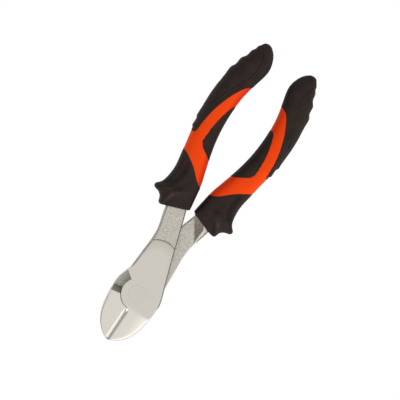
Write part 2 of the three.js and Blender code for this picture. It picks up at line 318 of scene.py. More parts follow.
class Side(Enum):
    """Which half a piece belongs to."""

    FRONT = "front"
    REAR = "rear"

    @property
    def body(self) -> str:
        """The moving body that the half and its grip ride on."""
        return f"{self.value}_half"

    @property
    def grip(self) -> str:
        """The side that the half's grip is on."""
        return "left" if self is Side.FRONT else "right"

    @property
    def edge_sign(self) -> int:
        """The side of the lap plane that the cutting edge is near, as the half is drawn."""
        return 1 if self is Side.FRONT else -1


@dataclass(frozen=True)
class Pivot:
    """The joint that both halves are drawn about, in millimetres in the row frame."""

    x: float
    y: float
    z: float

    @classmethod
    def of(cls, frame: dict) -> Pivot:
        """The pivot of the frame's only joint."""
        return cls(*(value / MM for value in frame["joints"][0]["pos_m"]))

    def placed(self, points: np.ndarray, side: Side) -> np.ndarray:
        """Put points drawn as the front half lies where a half has them: the rear half is turned about Y."""
        turn = np.array([1.0, 1.0, 1.0]) if side is Side.FRONT else np.array([-1.0, 1.0, -1.0])
        return points * turn + np.array([self.x, self.y, self.z])


# ------------------------------------------------------------------------ shaders
@dataclass
class Socket:
    """A number or colour in a shader, with arithmetic on numbers."""

    tree: Shader
    link: bpy.types.NodeSocket

    def _with(self, operation: str, first: object, second: object) -> Socket:
        """A Math node of an operation on two values."""
        return self.tree.node("ShaderNodeMath", {"operation": operation}, {0: first, 1: second})

    def __add__(self, other: object) -> Socket:
        """Sum."""
        return self._with("ADD", self, other)

    __radd__ = __add__

    def __sub__(self, other: object) -> Socket:
        """Difference."""
        return self._with("SUBTRACT", self, other)

    def __rsub__(self, other: object) -> Socket:
        """Difference from a number."""
        return self._with("SUBTRACT", other, self)

    def __mul__(self, other: object) -> Socket:
        """Product."""
        return self._with("MULTIPLY", self, other)

    __rmul__ = __mul__

    def __pow__(self, other: object) -> Socket:
        """Power."""
        return self._with("POWER", self, other)

    def __rpow__(self, other: object) -> Socket:
        """Power of a number."""
        return self._with("POWER", other, self)


@dataclass
class Shader:
    """A node tree being filled."""

    nodes: bpy.types.Nodes
    links: bpy.types.NodeLinks

    @classmethod
    def of(cls, owner: bpy.types.Material | bpy.types.World) -> Shader:
        """The node tree of a material or a world, emptied.

        Args:
            owner: what the tree shades.

        Returns:
            The tree.
        """
        owner.use_nodes = True
        owner.node_tree.nodes.clear()
        return cls(owner.node_tree.nodes, owner.node_tree.links)

    def node(self, kind: str, settings: dict, inputs: dict, output: str | int = 0) -> Socket:
        """Make a node: its settings first, then what goes into its sockets.

        Args:
            kind: the node's type.
            settings: its properties by name.
            inputs: a value or a Socket for each of its sockets, by name or number.
            output: which of its outputs is wanted.

        Returns:
            That output.
        """
        made = self.nodes.new(kind)
        for name, value in settings.items():
            setattr(made, name, value)
        for name, value in inputs.items():
            if isinstance(value, Socket):
                self.links.new(value.link, made.inputs[name])
            else:
                made.inputs[name].default_value = value
        return Socket(self, made.outputs[output] if made.outputs else made.inputs[0])

    def place(self, scale: float = 1.0, stretch: tuple[float, float, float] = (1, 1, 1)) -> Socket:
        """Object coordinates in millimetres, times a scale and a stretch.

        Args:
            scale: the scale for all three axes.
            stretch: a factor for each axis.

        Returns:
            The vector.
        """
        here = self.node("ShaderNodeTexCoord", {}, {}, "Object")
        factor = [scale / MM * part for part in stretch]
        return self.node("ShaderNodeVectorMath", {"operation": "MULTIPLY"}, {0: here, 1: factor})

    def noise(
        self, size: float, detail: float = 2.0, stretch: tuple[float, float, float] = (1, 1, 1),
    ) -> Socket:
        """Cloudy noise from 0 to 1 whose blotches are about size millimetres across."""
        place = self.place(1 / size, stretch)
        return self.node("ShaderNodeTexNoise", {}, {"Vector": place, "Scale": 1.0, "Detail": detail}, "Fac")

    def mark(self) -> Socket:
        """The number that the mesh carries for its finish."""
        settings = {"attribute_name": FINISH_AND_SHADE, "attribute_type": "GEOMETRY"}
        return self.node("ShaderNodeAttribute", settings, {}, "Fac")

    def between(self, value: Socket, low: float, high: float) -> Socket:
        """A share from 0 where a value is low or less to 1 where it is high or more."""
        ends = {"Value": value, "From Min": low, "From Max": high}
        return self.node("ShaderNodeMapRange", {"clamp": True}, ends)

    def mix(self, share: Socket, first: object, second: object) -> Socket:
        """A colour between two colours."""
        return self.node("ShaderNodeMix", {"data_type": "RGBA"}, {0: share, 6: first, 7: second}, 2)

    def bump(self, height: Socket, depth: float, below: Socket | None = None) -> Socket:
        """A normal bent by a height.

        Args:
            height: the height, a number.
            depth: how many millimetres deep one unit of it is.
            below: the normal that it is laid over, if there is one.

        Returns:
            The normal.
        """
        inputs = {"Height": height, "Distance": depth * MM, "Strength": 1.0}
        if below is not None:
            inputs["Normal"] = below
        return self.node("ShaderNodeBump", {}, inputs, "Normal")

    def surface(self, settings: dict) -> None:
        """The finished surface: a Principled shader with these sockets, to the output."""
        shader = self.node("ShaderNodeBsdfPrincipled", {}, settings, "BSDF")
        self.node("ShaderNodeOutputMaterial", {}, {"Surface": shader})


Colour = tuple[float, float, float, float]


@dataclass(frozen=True)
class ForgedSteel:
    """Tool steel by its mark: 0 ground satin, 1 bead-blasted, 2 scaled and oily, 3 painted shade along edges.
    """

    name: str = "tool_steel"
    ground: Colour = (0.56, 0.532, 0.485, 1)
    blasted: Colour = (0.41, 0.382, 0.338, 1)
    scaled: Colour = (0.41, 0.40, 0.335, 1)
    # Painted shade: the colour of the dark lines along the seam's edges and on the recess's shoulder.
    edge: Colour = (0.235, 0.212, 0.208, 1)
    bright: Colour = (0.70, 0.675, 0.63, 1)

    def make(self) -> bpy.types.Material:
        """Build the material.

        Returns:
            The material.
        """
        material = bpy.data.materials.new(self.name)
        shader = Shader.of(material)
        mark = shader.mark()
        blast, scale = shader.between(mark, 0.1, 0.9), shader.between(mark, 1.1, 1.9)
        edge = shader.between(mark, 2.1, 2.9)
        cloud = shader.noise(9, 3)
        grain = shader.noise(0.36, 2)
        pits = shader.noise(0.8, 3)
        scratches = shader.noise(0.5, 4, (1.0, 0.06, 0.3))
        colour = shader.mix(blast, self.ground, self.blasted)
        colour = shader.mix(scale, colour, self.scaled)
        fleck = shader.between(pits, 0.35, 0.65) * blast**3
        colour = shader.mix(cloud * 0.1 + fleck * 0.38, colour, self.bright)
        # Painted shade along edges, where the mark is past 2.
        colour = shader.mix(edge, colour, self.edge)
        roughness = blast * 0.14 + scale * 0.12 + cloud * 0.06 + scratches * 0.05 + 0.27
        grinding = shader.bump(scratches, 0.004)
        blasting = shader.bump((grain * 0.5 + pits - 0.75) * blast * (1 - edge), 0.17, grinding)
        shader.surface({
            "Base Color": colour,
            "Metallic": 1.0,
            "Roughness": roughness,
            "Normal": blasting,
        })
        return material


@dataclass(frozen=True)
class RivetSteel:
    """The rivet's end, ground off with the joint, with the grinding's fine arcs."""

    name: str = "rivet_steel"
    colour: Colour = (0.555, 0.527, 0.48, 1)
    bright: Colour = (0.59, 0.562, 0.515, 1)

    def make(self) -> bpy.types.Material:
        """Build the material.

        Returns:
            The material.
        """
        material = bpy.data.materials.new(self.name)
        shader = Shader.of(material)
        scratches = shader.noise(0.4, 4, (1.0, 0.08, 0.3))
        tint = shader.noise(3, 2)
        shader.surface({
            "Base Color": shader.mix(tint * 0.3, self.colour, self.bright),
            "Metallic": 1.0,
            "Roughness": scratches * 0.08 + 0.28,
            "Normal": shader.bump(scratches, 0.004),
        })
        return material


@dataclass(frozen=True)
class SoftRubber:
    """The matt, warm black zones, with dusty patches: painted shade where the mark is 1 and a painted
    highlight at -1.
    """

    name: str = "grip_black"
    colour: Colour = (0.0195, 0.0118, 0.0098, 1)
    dusty: Colour = (0.0275, 0.0178, 0.0148, 1)
    # Painted shade on the inner side and in the folds' valleys.
    painted_shade: Colour = (0.009, 0.005, 0.004, 1)
    # Painted highlight on the front ridge's crest.
    pale: Colour = (0.052, 0.037, 0.033, 1)

    def make(self) -> bpy.types.Material:
        """Build the material.

        Returns:
            The material.
        """
        material = bpy.data.materials.new(self.name)
        shader = Shader.of(material)
        grain = shader.noise(0.22, 3)
        cloud = shader.noise(7, 3)
        dusted = shader.mix(shader.between(cloud, 0.35, 0.7), self.colour, self.dusty)
        mark = shader.mark()
        shaded_base = shader.mix(shader.between(mark, 0, 1), dusted, self.painted_shade)
        shader.surface({
            "Base Color": shader.mix(shader.between(mark, 0, -1), shaded_base, self.pale),
            "Roughness": cloud * 0.12 + grain * 0.1 + 0.6,
            "Specular IOR Level": 0.16,
            "Normal": shader.bump(grain, 0.03),
        })
        return material


@dataclass(frozen=True)
class HardPlastic:
    """The satin orange core, with a faint flow mottle and a very fine texture, and painted shade where the
    mark is 1.
    """

    name: str = "grip_orange"
    colour: Colour = (0.82, 0.062, 0.0055, 1)
    deep: Colour = (0.77, 0.051, 0.004, 1)
    # Painted shade on the core's inner side.
    painted_shade: Colour = (0.6, 0.022, 0.006, 1)

    def make(self) -> bpy.types.Material:
        """Build the material.

        Returns:
            The material.
        """
        material = bpy.data.materials.new(self.name)
        shader = Shader.of(material)
        grain = shader.noise(0.3, 2)
        flow = shader.noise(11, 2, (1, 0.4, 1))
        streaked = shader.mix(shader.between(flow, 0.3, 0.75), self.colour, self.deep)
        shader.surface({
            "Base Color": shader.mix(shader.between(shader.mark(), 0, 1), streaked, self.painted_shade),
            "Roughness": grain * 0.08 + 0.46,
            "Specular IOR Level": 0.03,
            "Normal": shader.bump(grain, 0.012),
        })
        return material


# ------------------------------------------------------------------------ the steel halves
@dataclass(frozen=True)
class Stretches:
    """How far each section belongs to a stretch of the half: shares from 0 to 1 in a column of sections."""

    y: np.ndarray
    cutting_end: tuple[float, float] = (-11.6, -9.8)
    jaw_end: tuple[float, float] = (-12, -5)
    boss_start: tuple[float, float] = (-7, -1)
    side_start: tuple[float, float] = (-2.6, 0.8)
    shank_start: tuple[float, float] = (8, 14)
    heel_start: tuple[float, float] = (30, 38)
    strip_start: tuple[float, float] = (40, 41.2)

    @property
    def cutting(self) -> np.ndarray:
        """Where the cutting edge has its bevel."""
        return 1 - smooth(self.y, *self.cutting_end)

    @property
    def jaw(self) -> np.ndarray:
        """The jaw."""
        return 1 - smooth(self.y, *self.jaw_end)

    @property
    def boss(self) -> np.ndarray:
        """The boss and all that follows it."""
        return smooth(self.y, *self.boss_start)

    @property
    def shaded_outer_edge(self) -> np.ndarray:
        """Where the outer side's edge gets painted shade."""
        return smooth(self.y, *self.side_start)

    @property
    def shank(self) -> np.ndarray:
        """The shank and the tang."""
        return smooth(self.y, *self.shank_start)

    @property
    def heel(self) -> np.ndarray:
        """Where the rear face's outer edge grows rounder."""
        return smooth(self.y, *self.heel_start)

    @property
    def strip(self) -> np.ndarray:
        """Where the lap face has a broad bright strip along its edge, beside the ramp."""
        return smooth(self.y, *self.strip_start)


@dataclass(frozen=True)
class Corners:
    """The width and height of a section's five corners, each a pair of columns."""

    inner: tuple[np.ndarray, np.ndarray]
    outer: tuple[np.ndarray, np.ndarray]
    rear: tuple[np.ndarray, np.ndarray]
    seat: tuple[np.ndarray, np.ndarray]
    lap: tuple[np.ndarray, np.ndarray]


@dataclass(frozen=True)
class SteelHalf:
    """One forged half, in millimetres as the front half lies: its jaw, boss, shank and tang."""

    side: Side
    face: float = 6.0
    shank_face: float = 5.5
    tang_face: float = 3.0
    lap: float = 0.1
    disc_radius: float = 8.9
    seat_radius: float = 9.15
    shoulder: tuple[tuple[float, float], tuple[float, float]] = ((-7.25, 5.16), (-11.1, 8.1))
    slope_foot: float = -0.9
    slope_top: float = -4.45
    slope_skew: float = 0.18
    skew_start: float = 8.2
    edge_gap: float = 0.06
    edge_aside: float = 0.34
    edge_depth: float = 0.72
    bevel_widths: tuple[float, float] = (1.6, 1.4)
    relief_widths: tuple[float, float] = (0.5, 2.9)
    relief_slope: float = 1.1
    relief_start: float = -9.15
    notch: tuple[float, float, float] = (-9.95, 0.95, 0.5)
    tip: float = -29.2
    taper_start: float = -8.3
    tip_face: float = 3.0
    block_taper_start: float = -4.6
    jaw_crown: float = 0.8
    crown_start: float = 5.5
    crown_width: float = 8.3
    boss_end: tuple[float, float, float] = (-1.4, 20.7, 11.3)
    boss_roll: tuple[float, float] = (0.05, 3.2)
    heel_end: float = 56.5
    tang_end: float = 126.0
    ramp: tuple[tuple[float, float], tuple[float, float]] = ((-3.2, 51.5), (-10.1, 40.8))
    ramp_length: float = 4.6
    flat_lap_end: float = 20.0
    strip_side: float = 10.55
    strip_in: tuple[float, ...] = (0, 0.05, 0.12, 0.22, 0.33, 0.43, 0.48, 0.94, 1)
    strip_off: tuple[float, ...] = (1, 0.9, 0.79, 0.68, 0.58, 0.5, 0.45, 0.02, 0)
    even_stations: tuple[tuple[float, float, float], ...] = (
        (-26.9, -10.9, 0.33), (8.3, 27.5, 0.45), (27.5, 32.8, 0.11), (32.8, 40, 0.45), (40, 53.5, 0.25),
        (53.5, 56.5, 0.6), (58.5, 124, 2.2),
    )
    outer: PlanCurve = PlanCurve((
        (0.8, -29.2), (3.3, -28.1), (6.05, -26), (9, -22.6), (11.35, -17.8), (12.65, -12.4),
        (13.3, -6.5), (13.5, -1), (13.3, 2.2), (12.25, 6), (11.15, 9.2), (10.1, 12), (8.9, 15.6),
        (7.5, 19.8), (5.9, 24.6), (4.3, 29.6), (2.7, 34.8), (1, 40.2), (-0.6, 45.2), (-2.2, 50),
        (-4.4, 56.5),
    ))
    shank_back: PlanCurve = PlanCurve((
        (-11.2, 8.1), (-11.15, 12), (-10.7, 20), (-10.15, 28), (-10.25, 34), (-11.0, 38.4),
        (-12.35, 43.6), (-13.4, 49), (-14.6, 56.5),
    ))
    tang_front: PlanCurve = PlanCurve((
        (-5.2, 56.5), (-6.6, 62), (-9.6, 73), (-12.4, 84), (-14.4, 95), (-15.2, 106), (-15, 116),
        (-13.9, 125), (-15.5, 126),
    ))
    tang_back: PlanCurve = PlanCurve((
        (-14, 56.5), (-14.8, 62), (-16.6, 73), (-18.8, 84), (-20.6, 95), (-21.3, 106), (-21, 116),
        (-19.4, 125), (-18, 126),
    ))

    def stations(self) -> np.ndarray:
        """The y of each section: close together where the outline turns, and at evenly spaced stations.

        Returns:
            The places, from the tip to the tang's end.
        """
        quarter = np.linspace(0, math.pi / 2, 40)
        notch_y, notch_length, _ = self.notch
        (_, low_y), (_, high_y) = self.shoulder
        parts = [
            self.tip + 2.2 * (1 - np.cos(np.linspace(0, math.pi / 2, 14))),
            -self.disc_radius * np.cos(quarter),
            -self.seat_radius * np.cos(quarter),
            notch_y - notch_length * np.cos(np.linspace(0, math.pi, 15)),
            [self.taper_start - 0.12, self.taper_start + 0.12, self.slope_foot, self.slope_foot + 0.02],
            np.arange(0, low_y, 0.35),
            np.linspace(low_y, high_y, 12),
            [self.heel_end, self.heel_end + 0.4],
            self.tang_end - 2 * np.cos(quarter[::4]),
            *[np.arange(start, end, step) for start, end, step in self.even_stations],
        ]
        rows = np.unique(np.round(np.concatenate(parts), 3))
        return rows[(rows >= self.tip) & (rows <= self.tang_end)]

    @property
    def bevel_width(self) -> float:
        """How wide the bevel on the cutting edge is: the front half's is the broader."""
        return self.bevel_widths[0] if self.side is Side.FRONT else self.bevel_widths[1]

    def edge_line(self, y: np.ndarray) -> np.ndarray:
        """The cutting edge's x: the two edges meet a little to the rear half's side of the centre."""
        return self.edge_gap - self.side.edge_sign * self.edge_aside * smooth(-y, 10.3, 11.6)

    def notch_bite(self, y: np.ndarray) -> np.ndarray:
        """How far the oval notch at the edges' root reaches across: half its chord at each y."""
        centre, length, width = self.notch
        return width * np.sqrt(np.clip(1 - ((y - centre) / length) ** 2, 0, None))

    def front_left(self, y: np.ndarray) -> np.ndarray:
        """The left side of the part in front of the lap plane: edge, disc, shoulder, shank and tang in turn.

        Args:
            y: the sections' places.

        Returns:
            The side's x at each.
        """
        (low_x, low_y), (high_x, high_y) = self.shoulder
        disc = -np.sqrt(np.clip(self.disc_radius**2 - y**2, 0, None))
        step = np.interp(y, [low_y, high_y], [low_x, high_x])
        cases = [y < -self.disc_radius, y < low_y, y < high_y, y <= self.heel_end]
        sides = [self.edge_line(y), np.minimum(disc, self.edge_gap), step, self.shank_back.x_at(y)]
        return np.select(cases, sides, self.tang_back.x_at(y)) + self.notch_bite(y) * (y < -self.disc_radius)

    def right(self, y: np.ndarray) -> np.ndarray:
        """The right side: the jaw's outer edge, then the shank's inner one."""
        return np.where(y <= self.heel_end, self.outer.x_at(y), self.tang_front.x_at(y))

    def block_left(self, y: np.ndarray) -> np.ndarray:
        """The left side of the jaw block behind the lap plane: the edge, then the other disc's round seat.

        Args:
            y: the sections' places.

        Returns:
            The side's x at each.
        """
        seat = np.sqrt(np.clip(self.seat_radius**2 - y**2, 0, None))
        at_foot = math.sqrt(self.seat_radius**2 - self.slope_foot**2)
        width = float(self.right(np.array([self.slope_foot]))[0]) - at_foot
        edge = self.edge_line(y) + self.notch_bite(y)
        return np.select(
            [y < -self.seat_radius, y < self.slope_foot], [edge, np.maximum(seat, self.edge_gap)],
            self.right(y) - width,
        )

    def jaw_height(self, y: np.ndarray, start: float) -> np.ndarray:
        """Half the jaw's thickness: it falls evenly to the tip from a soft crease, a parabola.

        Args:
            y: the places.
            start: the crease's y.

        Returns:
            The height at each place.
        """
        blend = 1.5
        past = start - y
        past = np.where(np.abs(past) < blend, (past + blend) ** 2 / (4 * blend), np.clip(past, 0, None))
        return self.face + (self.tip_face - self.face) * np.clip(past / (start - self.tip), 0, 1)

    def crown(self, x: np.ndarray, y: np.ndarray) -> np.ndarray:
        """How far the jaw's face rolls down to its outer edge: by the square of the share past its middle."""
        share = np.clip((x - self.crown_start) / self.crown_width, 0, None)
        return self.jaw_crown * share**2 * (y < self.taper_start)

    def relief(self, y: np.ndarray, height: np.ndarray) -> np.ndarray:
        """How far the hollow behind the edge reaches across: it widens with depth, most in the jaw's middle.

        Args:
            y: the sections' places.
            height: the heights, counted towards the edge's side.

        Returns:
            The reach at each.
        """
        share = np.clip((self.relief_start - y) / (self.relief_start - self.tip + 0.1), 0, 1)
        least, more = self.relief_widths
        widest = least + more * np.sin(math.pi * share) ** 0.7
        edge = self.jaw_height(y, self.taper_start) - self.edge_depth
        inside = y < self.relief_start
        return np.where(inside, np.clip((edge - height) / self.relief_slope, 0, widest), 0)

    def past_boss(self, x: np.ndarray, y: np.ndarray) -> np.ndarray:
        """Plan distance past the boss's round end: negative on the boss, minus its radius below its centre."""
        centre_x, centre_y, radius = self.boss_end
        return np.where(y > centre_y, np.hypot(x - centre_x, y - centre_y) - radius, -radius)

    def top(self, x: np.ndarray, y: np.ndarray) -> np.ndarray:
        """Height of the front face: crowned jaw slope, flat boss, its round step down, shank, then tang.

        Args:
            x: the places' x.
            y: the places' y.

        Returns:
            The height at each.
        """
        beyond = self.past_boss(x, y)
        on_shank = smooth(beyond, -0.05, 0.6)
        roll_drop, roll_width = self.boss_roll
        roll = roll_drop * np.clip((beyond + roll_width) / roll_width, 0, 1) ** 2
        shank = self.face - (self.face - self.shank_face) * on_shank - roll * (1 - on_shank)
        height = np.where(y < 0, self.jaw_height(y, self.taper_start) - self.crown(x, y), shank)
        return np.where(y > self.heel_end, self.tang_face, height)

    def lap_height(self, x: np.ndarray, y: np.ndarray) -> np.ndarray:
        """Height of the lap face, and of the ramp beyond it down to the shank's full thickness.

        Args:
            x: the places' x.
            y: the places' y.

        Returns:
            The height at each.
        """
        (foot_x, foot_y), (end_x, end_y) = self.ramp
        length = math.hypot(end_x - foot_x, end_y - foot_y)
        beyond = ((end_y - foot_y) * (x - foot_x) - (end_x - foot_x) * (y - foot_y)) / length
        ramp = self.lap - (self.lap + self.shank_face) * np.clip(beyond / self.ramp_length, 0, 1)
        return np.where(y > self.heel_end, -self.tang_face, np.where(y < self.flat_lap_end, self.lap, ramp))

    def block_height(self, x: np.ndarray, y: np.ndarray) -> np.ndarray:
        """Height of the jaw block's rear face, up its sloping shoulder to the lap face.

        Args:
            x: the places' x.
            y: the places' y.

        Returns:
            The height at each.
        """
        skew = self.slope_skew * np.clip(x - self.skew_start, 0, None)
        climb = np.clip((y - self.slope_top + skew) / (self.slope_foot - self.slope_top), 0, 1)
        jaw = -self.jaw_height(y, self.block_taper_start)
        return np.where(y < self.slope_foot, jaw + (self.lap - jaw) * climb, self.lap_height(x, y))

    def corner_sizes(self, at: Stretches, left: np.ndarray, right: np.ndarray, seat: np.ndarray) -> Corners:
        """How wide and high each section's corners are: the edge's bevel, and rounds fitted to the room.

        Args:
            at: the sections' shares in the stretches.
            left: the front part's left side, in a column of sections.
            right: the right side, in such a column.
            seat: the jaw block's left side, in such a column.

        Returns:
            The corners.
        """
        bevelled = at.cutting * (self.side is Side.FRONT)
        inner_width = bevelled * self.bevel_width + (1 - bevelled) * (0.14 + 0.86 * at.shank)
        inner_height = bevelled * self.edge_depth + (1 - bevelled) * (0.14 + 0.62 * at.shank)
        outer_width, outer_height = 0.2 + 2.0 * at.jaw + 0.6 * at.boss, 0.2 + 0.7 * at.jaw + 0.5 * at.boss
        rear_width, rear_height = 0.25 + 0.55 * at.jaw + 0.5 * at.heel, 0.25 + 0.4 * (at.jaw + at.heel)
        seat_round = np.minimum(0.15, 0.4 * np.clip(self.lap - self.block_height(seat, at.y), 0, None))
        seat_bevelled = at.cutting * (self.side is Side.REAR) > 0
        has_seat = at.y < self.slope_foot
        seat_width = np.where(seat_bevelled, self.bevel_width, seat_round) * has_seat
        seat_height = np.where(seat_bevelled, self.edge_depth, seat_round) * has_seat
        strip_width = np.clip(-left - self.strip_side, 0.4, None)
        lap_width = (0.12 + 0.3 * at.shank) * (1 - at.strip) + strip_width * at.strip
        lap_width = (at.y > -self.disc_radius) * lap_width
        return Corners(
            inner=fitted(inner_width, right - left, inner_height, 0.55),
            outer=fitted(outer_width, right - left, outer_height, 0.44),
            rear=fitted(rear_width, right - seat, rear_height),
            seat=fitted(seat_width, right - seat, seat_height, 0.55),
            lap=fitted(lap_width, seat - left, lap_width * (1 - 0.45 * at.strip)),
        )

    def sections(self) -> tuple[np.ndarray, np.ndarray]:
        """The half's closed sections, one for each station.

        Each section goes along the front face from left to right, down the right side, back along the rear
        face, up the seat, along the lap face and up the left side, with a corner where two faces meet.

        Returns:
            The points, by section, place and axis, and the finish mark of each.
        """
        y = self.stations()
        column = y[:, None]
        left, right, seat = self.front_left(y)[:, None], self.right(y)[:, None], self.block_left(y)[:, None]
        at = Stretches(column)
        corners = self.corner_sizes(at, left, right, seat)
        sign = self.side.edge_sign
        on_front, on_rear = at.cutting * (sign > 0), at.cutting * (sign < 0)

        # The front face, from its left corner to its right one.
        hollow = self.relief(column, sign * self.top(left, column)) * (1 - on_front)
        step_in, step_off = corner(*corners.inner, np.maximum(on_front, at.shank))
        inner_x = left + hollow + step_in
        inner_z = self.top(inner_x, column) - step_off
        inner_forged = (step_off > 0.02) * at.shank
        step_in, step_off = corner(*corners.outer, at.boss)
        outer_x = (right - step_in)[:, ::-1]
        outer_z = self.top(outer_x, column) - step_off[:, ::-1]
        # The outer corner from the boss on gets mark 3: painted shade along the edge.
        outer_edge_shade = 3.0 * (step_off[:, ::-1] > 0.02) * at.shaded_outer_edge
        front_x = bridge(inner_x, outer_x, 90)

        # The right side and the rear face, from its right corner to the foot of the seat.
        step_in, step_off = corner(*corners.rear, 0.0)
        rear_x = right - step_in
        rear_z = self.block_height(rear_x, column) + step_off
        side_z = bridge(outer_z, rear_z, 6)
        hollow = self.relief(column, sign * self.block_height(seat, column)) * (1 - on_rear)
        step_in, step_off = corner(*corners.seat, on_rear)
        foot_x = (seat + hollow + step_in)[:, ::-1]
        foot_z = self.block_height(foot_x, column) + step_off[:, ::-1]
        under_x = bridge(rear_x, foot_x, 26)

        # The seat, then the lap face to its left edge, which is a broad strip beside the ramp.
        seat_z = foot_z[:, -1:] + (self.lap_height(seat, column) - foot_z[:, -1:]) * np.linspace(0, 1, 9)[1:]
        seat_x = seat + self.relief(column, sign * seat_z)
        hollow = self.relief(column, sign * self.lap + 0 * column)
        width, height = corners.lap
        step_in, step_off = corner(width, height, 0.0)
        step_in = step_in * (1 - at.strip) + width * np.array(self.strip_in) * at.strip
        step_off = step_off * (1 - at.strip) + height * np.array(self.strip_off) * at.strip
        edge_x = (left + hollow + step_in)[:, ::-1]
        edge_z = self.lap_height(np.maximum(edge_x, -self.strip_side), column) + step_off[:, ::-1]
        # The outer part of the strip's round gets mark 3: painted shade along the lap face's left edge.
        strip_edge_shade = 3.0 * (step_off[:, ::-1] > 0.5 * height) * at.strip
        lap_x = bridge(seat_x, edge_x, 44)
        left_z = bridge(edge_z, inner_z, 11)

        blocks = [
            (inner_x, inner_z, inner_forged),
            (front_x, self.top(front_x, column), 0),
            (outer_x, outer_z, outer_edge_shade),
            (np.repeat(right, side_z.shape[1], 1), side_z, 0),
            (rear_x, rear_z, 0),
            (under_x, self.block_height(under_x, column), 0),
            (foot_x, foot_z, 0),
            (seat_x, seat_z, 0),
            (lap_x, self.lap_height(lap_x, column), 0),
            (edge_x, edge_z, strip_edge_shade),
            (left + self.relief(column, sign * left_z), left_z, 0),
        ]
        x = np.hstack([block_x for block_x, _, _ in blocks])
        z = np.hstack([block_z for _, block_z, _ in blocks])
        # Each corner's mark: 1 where it is blasted, 3 where it gets painted shade.
        forged = np.hstack([mark + 0 * block_x for block_x, _, mark in blocks])
        points = np.stack([x, np.broadcast_to(column, x.shape), z], axis=-1)
        return points, self.finish_marks(points, forged)

    def finish_marks(self, points: np.ndarray, forged: np.ndarray) -> np.ndarray:
        """The mark of each point: 0 ground, 1 blasted, 2 with the scale left on, 3 painted shade along edges.

        Args:
            points: the sections' points.
            forged: the corners' marks, by section and place: 1 on blasted corners, 3 for painted shade along
                edges.

        Returns:
            The marks, by section and place.
        """
        x, y, z = points[..., 0], points[..., 1], points[..., 2]
        beyond = self.past_boss(x, y)
        on_front = z > self.shank_face - 1.5
        shank_front = smooth(beyond, 0.15, 0.45)
        shank_sides = smooth(self.face - z, 0.9, 1.4) * (y > self.boss_end[1])
        on_lap = (np.abs(z - self.lap) < 0.05) * (y > -self.disc_radius)
        oily = on_lap * (1 - smooth(y, 9.5, 11.5))
        # A band of blasted colour running into scale along the boss's round step: partly blasted finish,
        # partly painted shade along the step.
        step = np.exp(-(((beyond - 0.1) / 0.42) ** 2)) * on_front
        # Painted shade: a gradient of half-blasted colour over the last 8 mm before the step.
        shade_before_step = 0.5 * smooth(beyond, -8, -0.3) * (beyond < 0) * on_front * (forged < 1)
        # The jaw block's sloping shoulder: scale, and painted shade at half strength.
        slope = 2.5 * (y > self.slope_top - 1.2) * (y < self.slope_foot) * (np.abs(z + 2.9) < 2.8)
        blasted = np.maximum.reduce([shank_front, shank_sides, on_lap, forged, slope])
        return blasted + oily + step + shade_before_step

    def make(self, pivot: Pivot, hole: Rivet, steel: bpy.types.Material) -> bpy.types.Object:
        """Build the half, with the rivet's hole cut through it.

        Args:
            pivot: where the halves turn.
            hole: the rivet, which gives the hole its shape.
            steel: the finish.

        Returns:
            The piece.
        """
        points, marks = self.sections()
        surface = Surface()
        surface.add_tube(pivot.placed(points, self.side), marks)
        piece = surface.build(f"{self.side.value}_steel_half")
        carve(piece, hole.solid(pivot, "hole", hole.clearance, hole.length))
        finish_shading(piece)
        piece.data.materials.clear()
        piece.data.materials.append(steel)
        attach(piece, self.side.body)
        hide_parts(f"{self.side.value}_jaw_half")
        return piece


@dataclass(frozen=True)
class Rivet:
    """The flush rivet: a shaft whose two ends fill countersinks, ground off with the joint faces."""

    radius: float = 4.0
    end_radius: float = 5.0
    end_depth: float = 1.2
    half_length: float = 5.99
    edge_round: float = 0.035
    clearance: float = 0.03
    length: float = 9.0
    sides: int = 96

    def solid(self, pivot: Pivot, name: str, grown: float, half_length: float) -> bpy.types.Object:
        """A solid turned about the pivot: (r cos a, r sin a, z) for each place of the profile.

        Args:
            pivot: where it stands.
            name: the object's name.
            grown: how much wider than the rivet it is, all round.
            half_length: how far it reaches each way from the lap plane.

        Returns:
            The object.
        """
        face = SteelHalf(Side.FRONT).face
        end, shaft = self.end_radius + grown, self.radius + grown
        edge_in, edge_off = rounded_edge(5)
        rim_r, rim_z = end - self.edge_round * edge_in, half_length - self.edge_round * edge_off
        cone_end = min(face, half_length - self.edge_round)
        half_r = np.array([shaft, shaft, end, *rim_r, end - 0.1, end / 2, 0.0])
        half_z = np.array([0.0, face - self.end_depth, cone_end, *rim_z, *[half_length] * 3])
        r = np.concatenate([half_r[::-1], half_r[1:]])[:, None]
        z = np.concatenate([-half_z[::-1], half_z[1:]])[:, None]
        angle = np.linspace(0, 2 * math.pi, self.sides, endpoint=False)
        rings = np.stack([r * np.cos(angle), r * np.sin(angle), z + 0 * angle], axis=-1)
        surface = Surface()
        surface.add_tube(pivot.placed(rings, Side.FRONT))
        return surface.build(name)

    def make(self, pivot: Pivot, steel: bpy.types.Material) -> bpy.types.Object:
        """Build the rivet itself.

        Args:
            pivot: where it stands.
            steel: the finish.

        Returns:
            The piece.
        """
        piece = self.solid(pivot, "rivet", 0.0, self.half_length)
        finish_shading(piece)
        piece.data.materials.append(steel)
        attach(piece, Side.REAR.body)
        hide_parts("pivot_rivet")
        return piece


# ------------------------------------------------------------------------ the grips
@dataclass(frozen=True)
class Fold:
    """A soft ridge, or with a negative height a valley, in a grip's skin along a plan line."""

    points: tuple[tuple[float, float], ...]
    width: float
    height: float

    def lift(self, x: np.ndarray, y: np.ndarray) -> np.ndarray:
        """Its height at plan places: a bell curve of the distance from the line, which ends round."""
        away = PlanCurve(self.points).offset_from(x, y)
        return self.height * np.exp(-((away / self.width) ** 2))


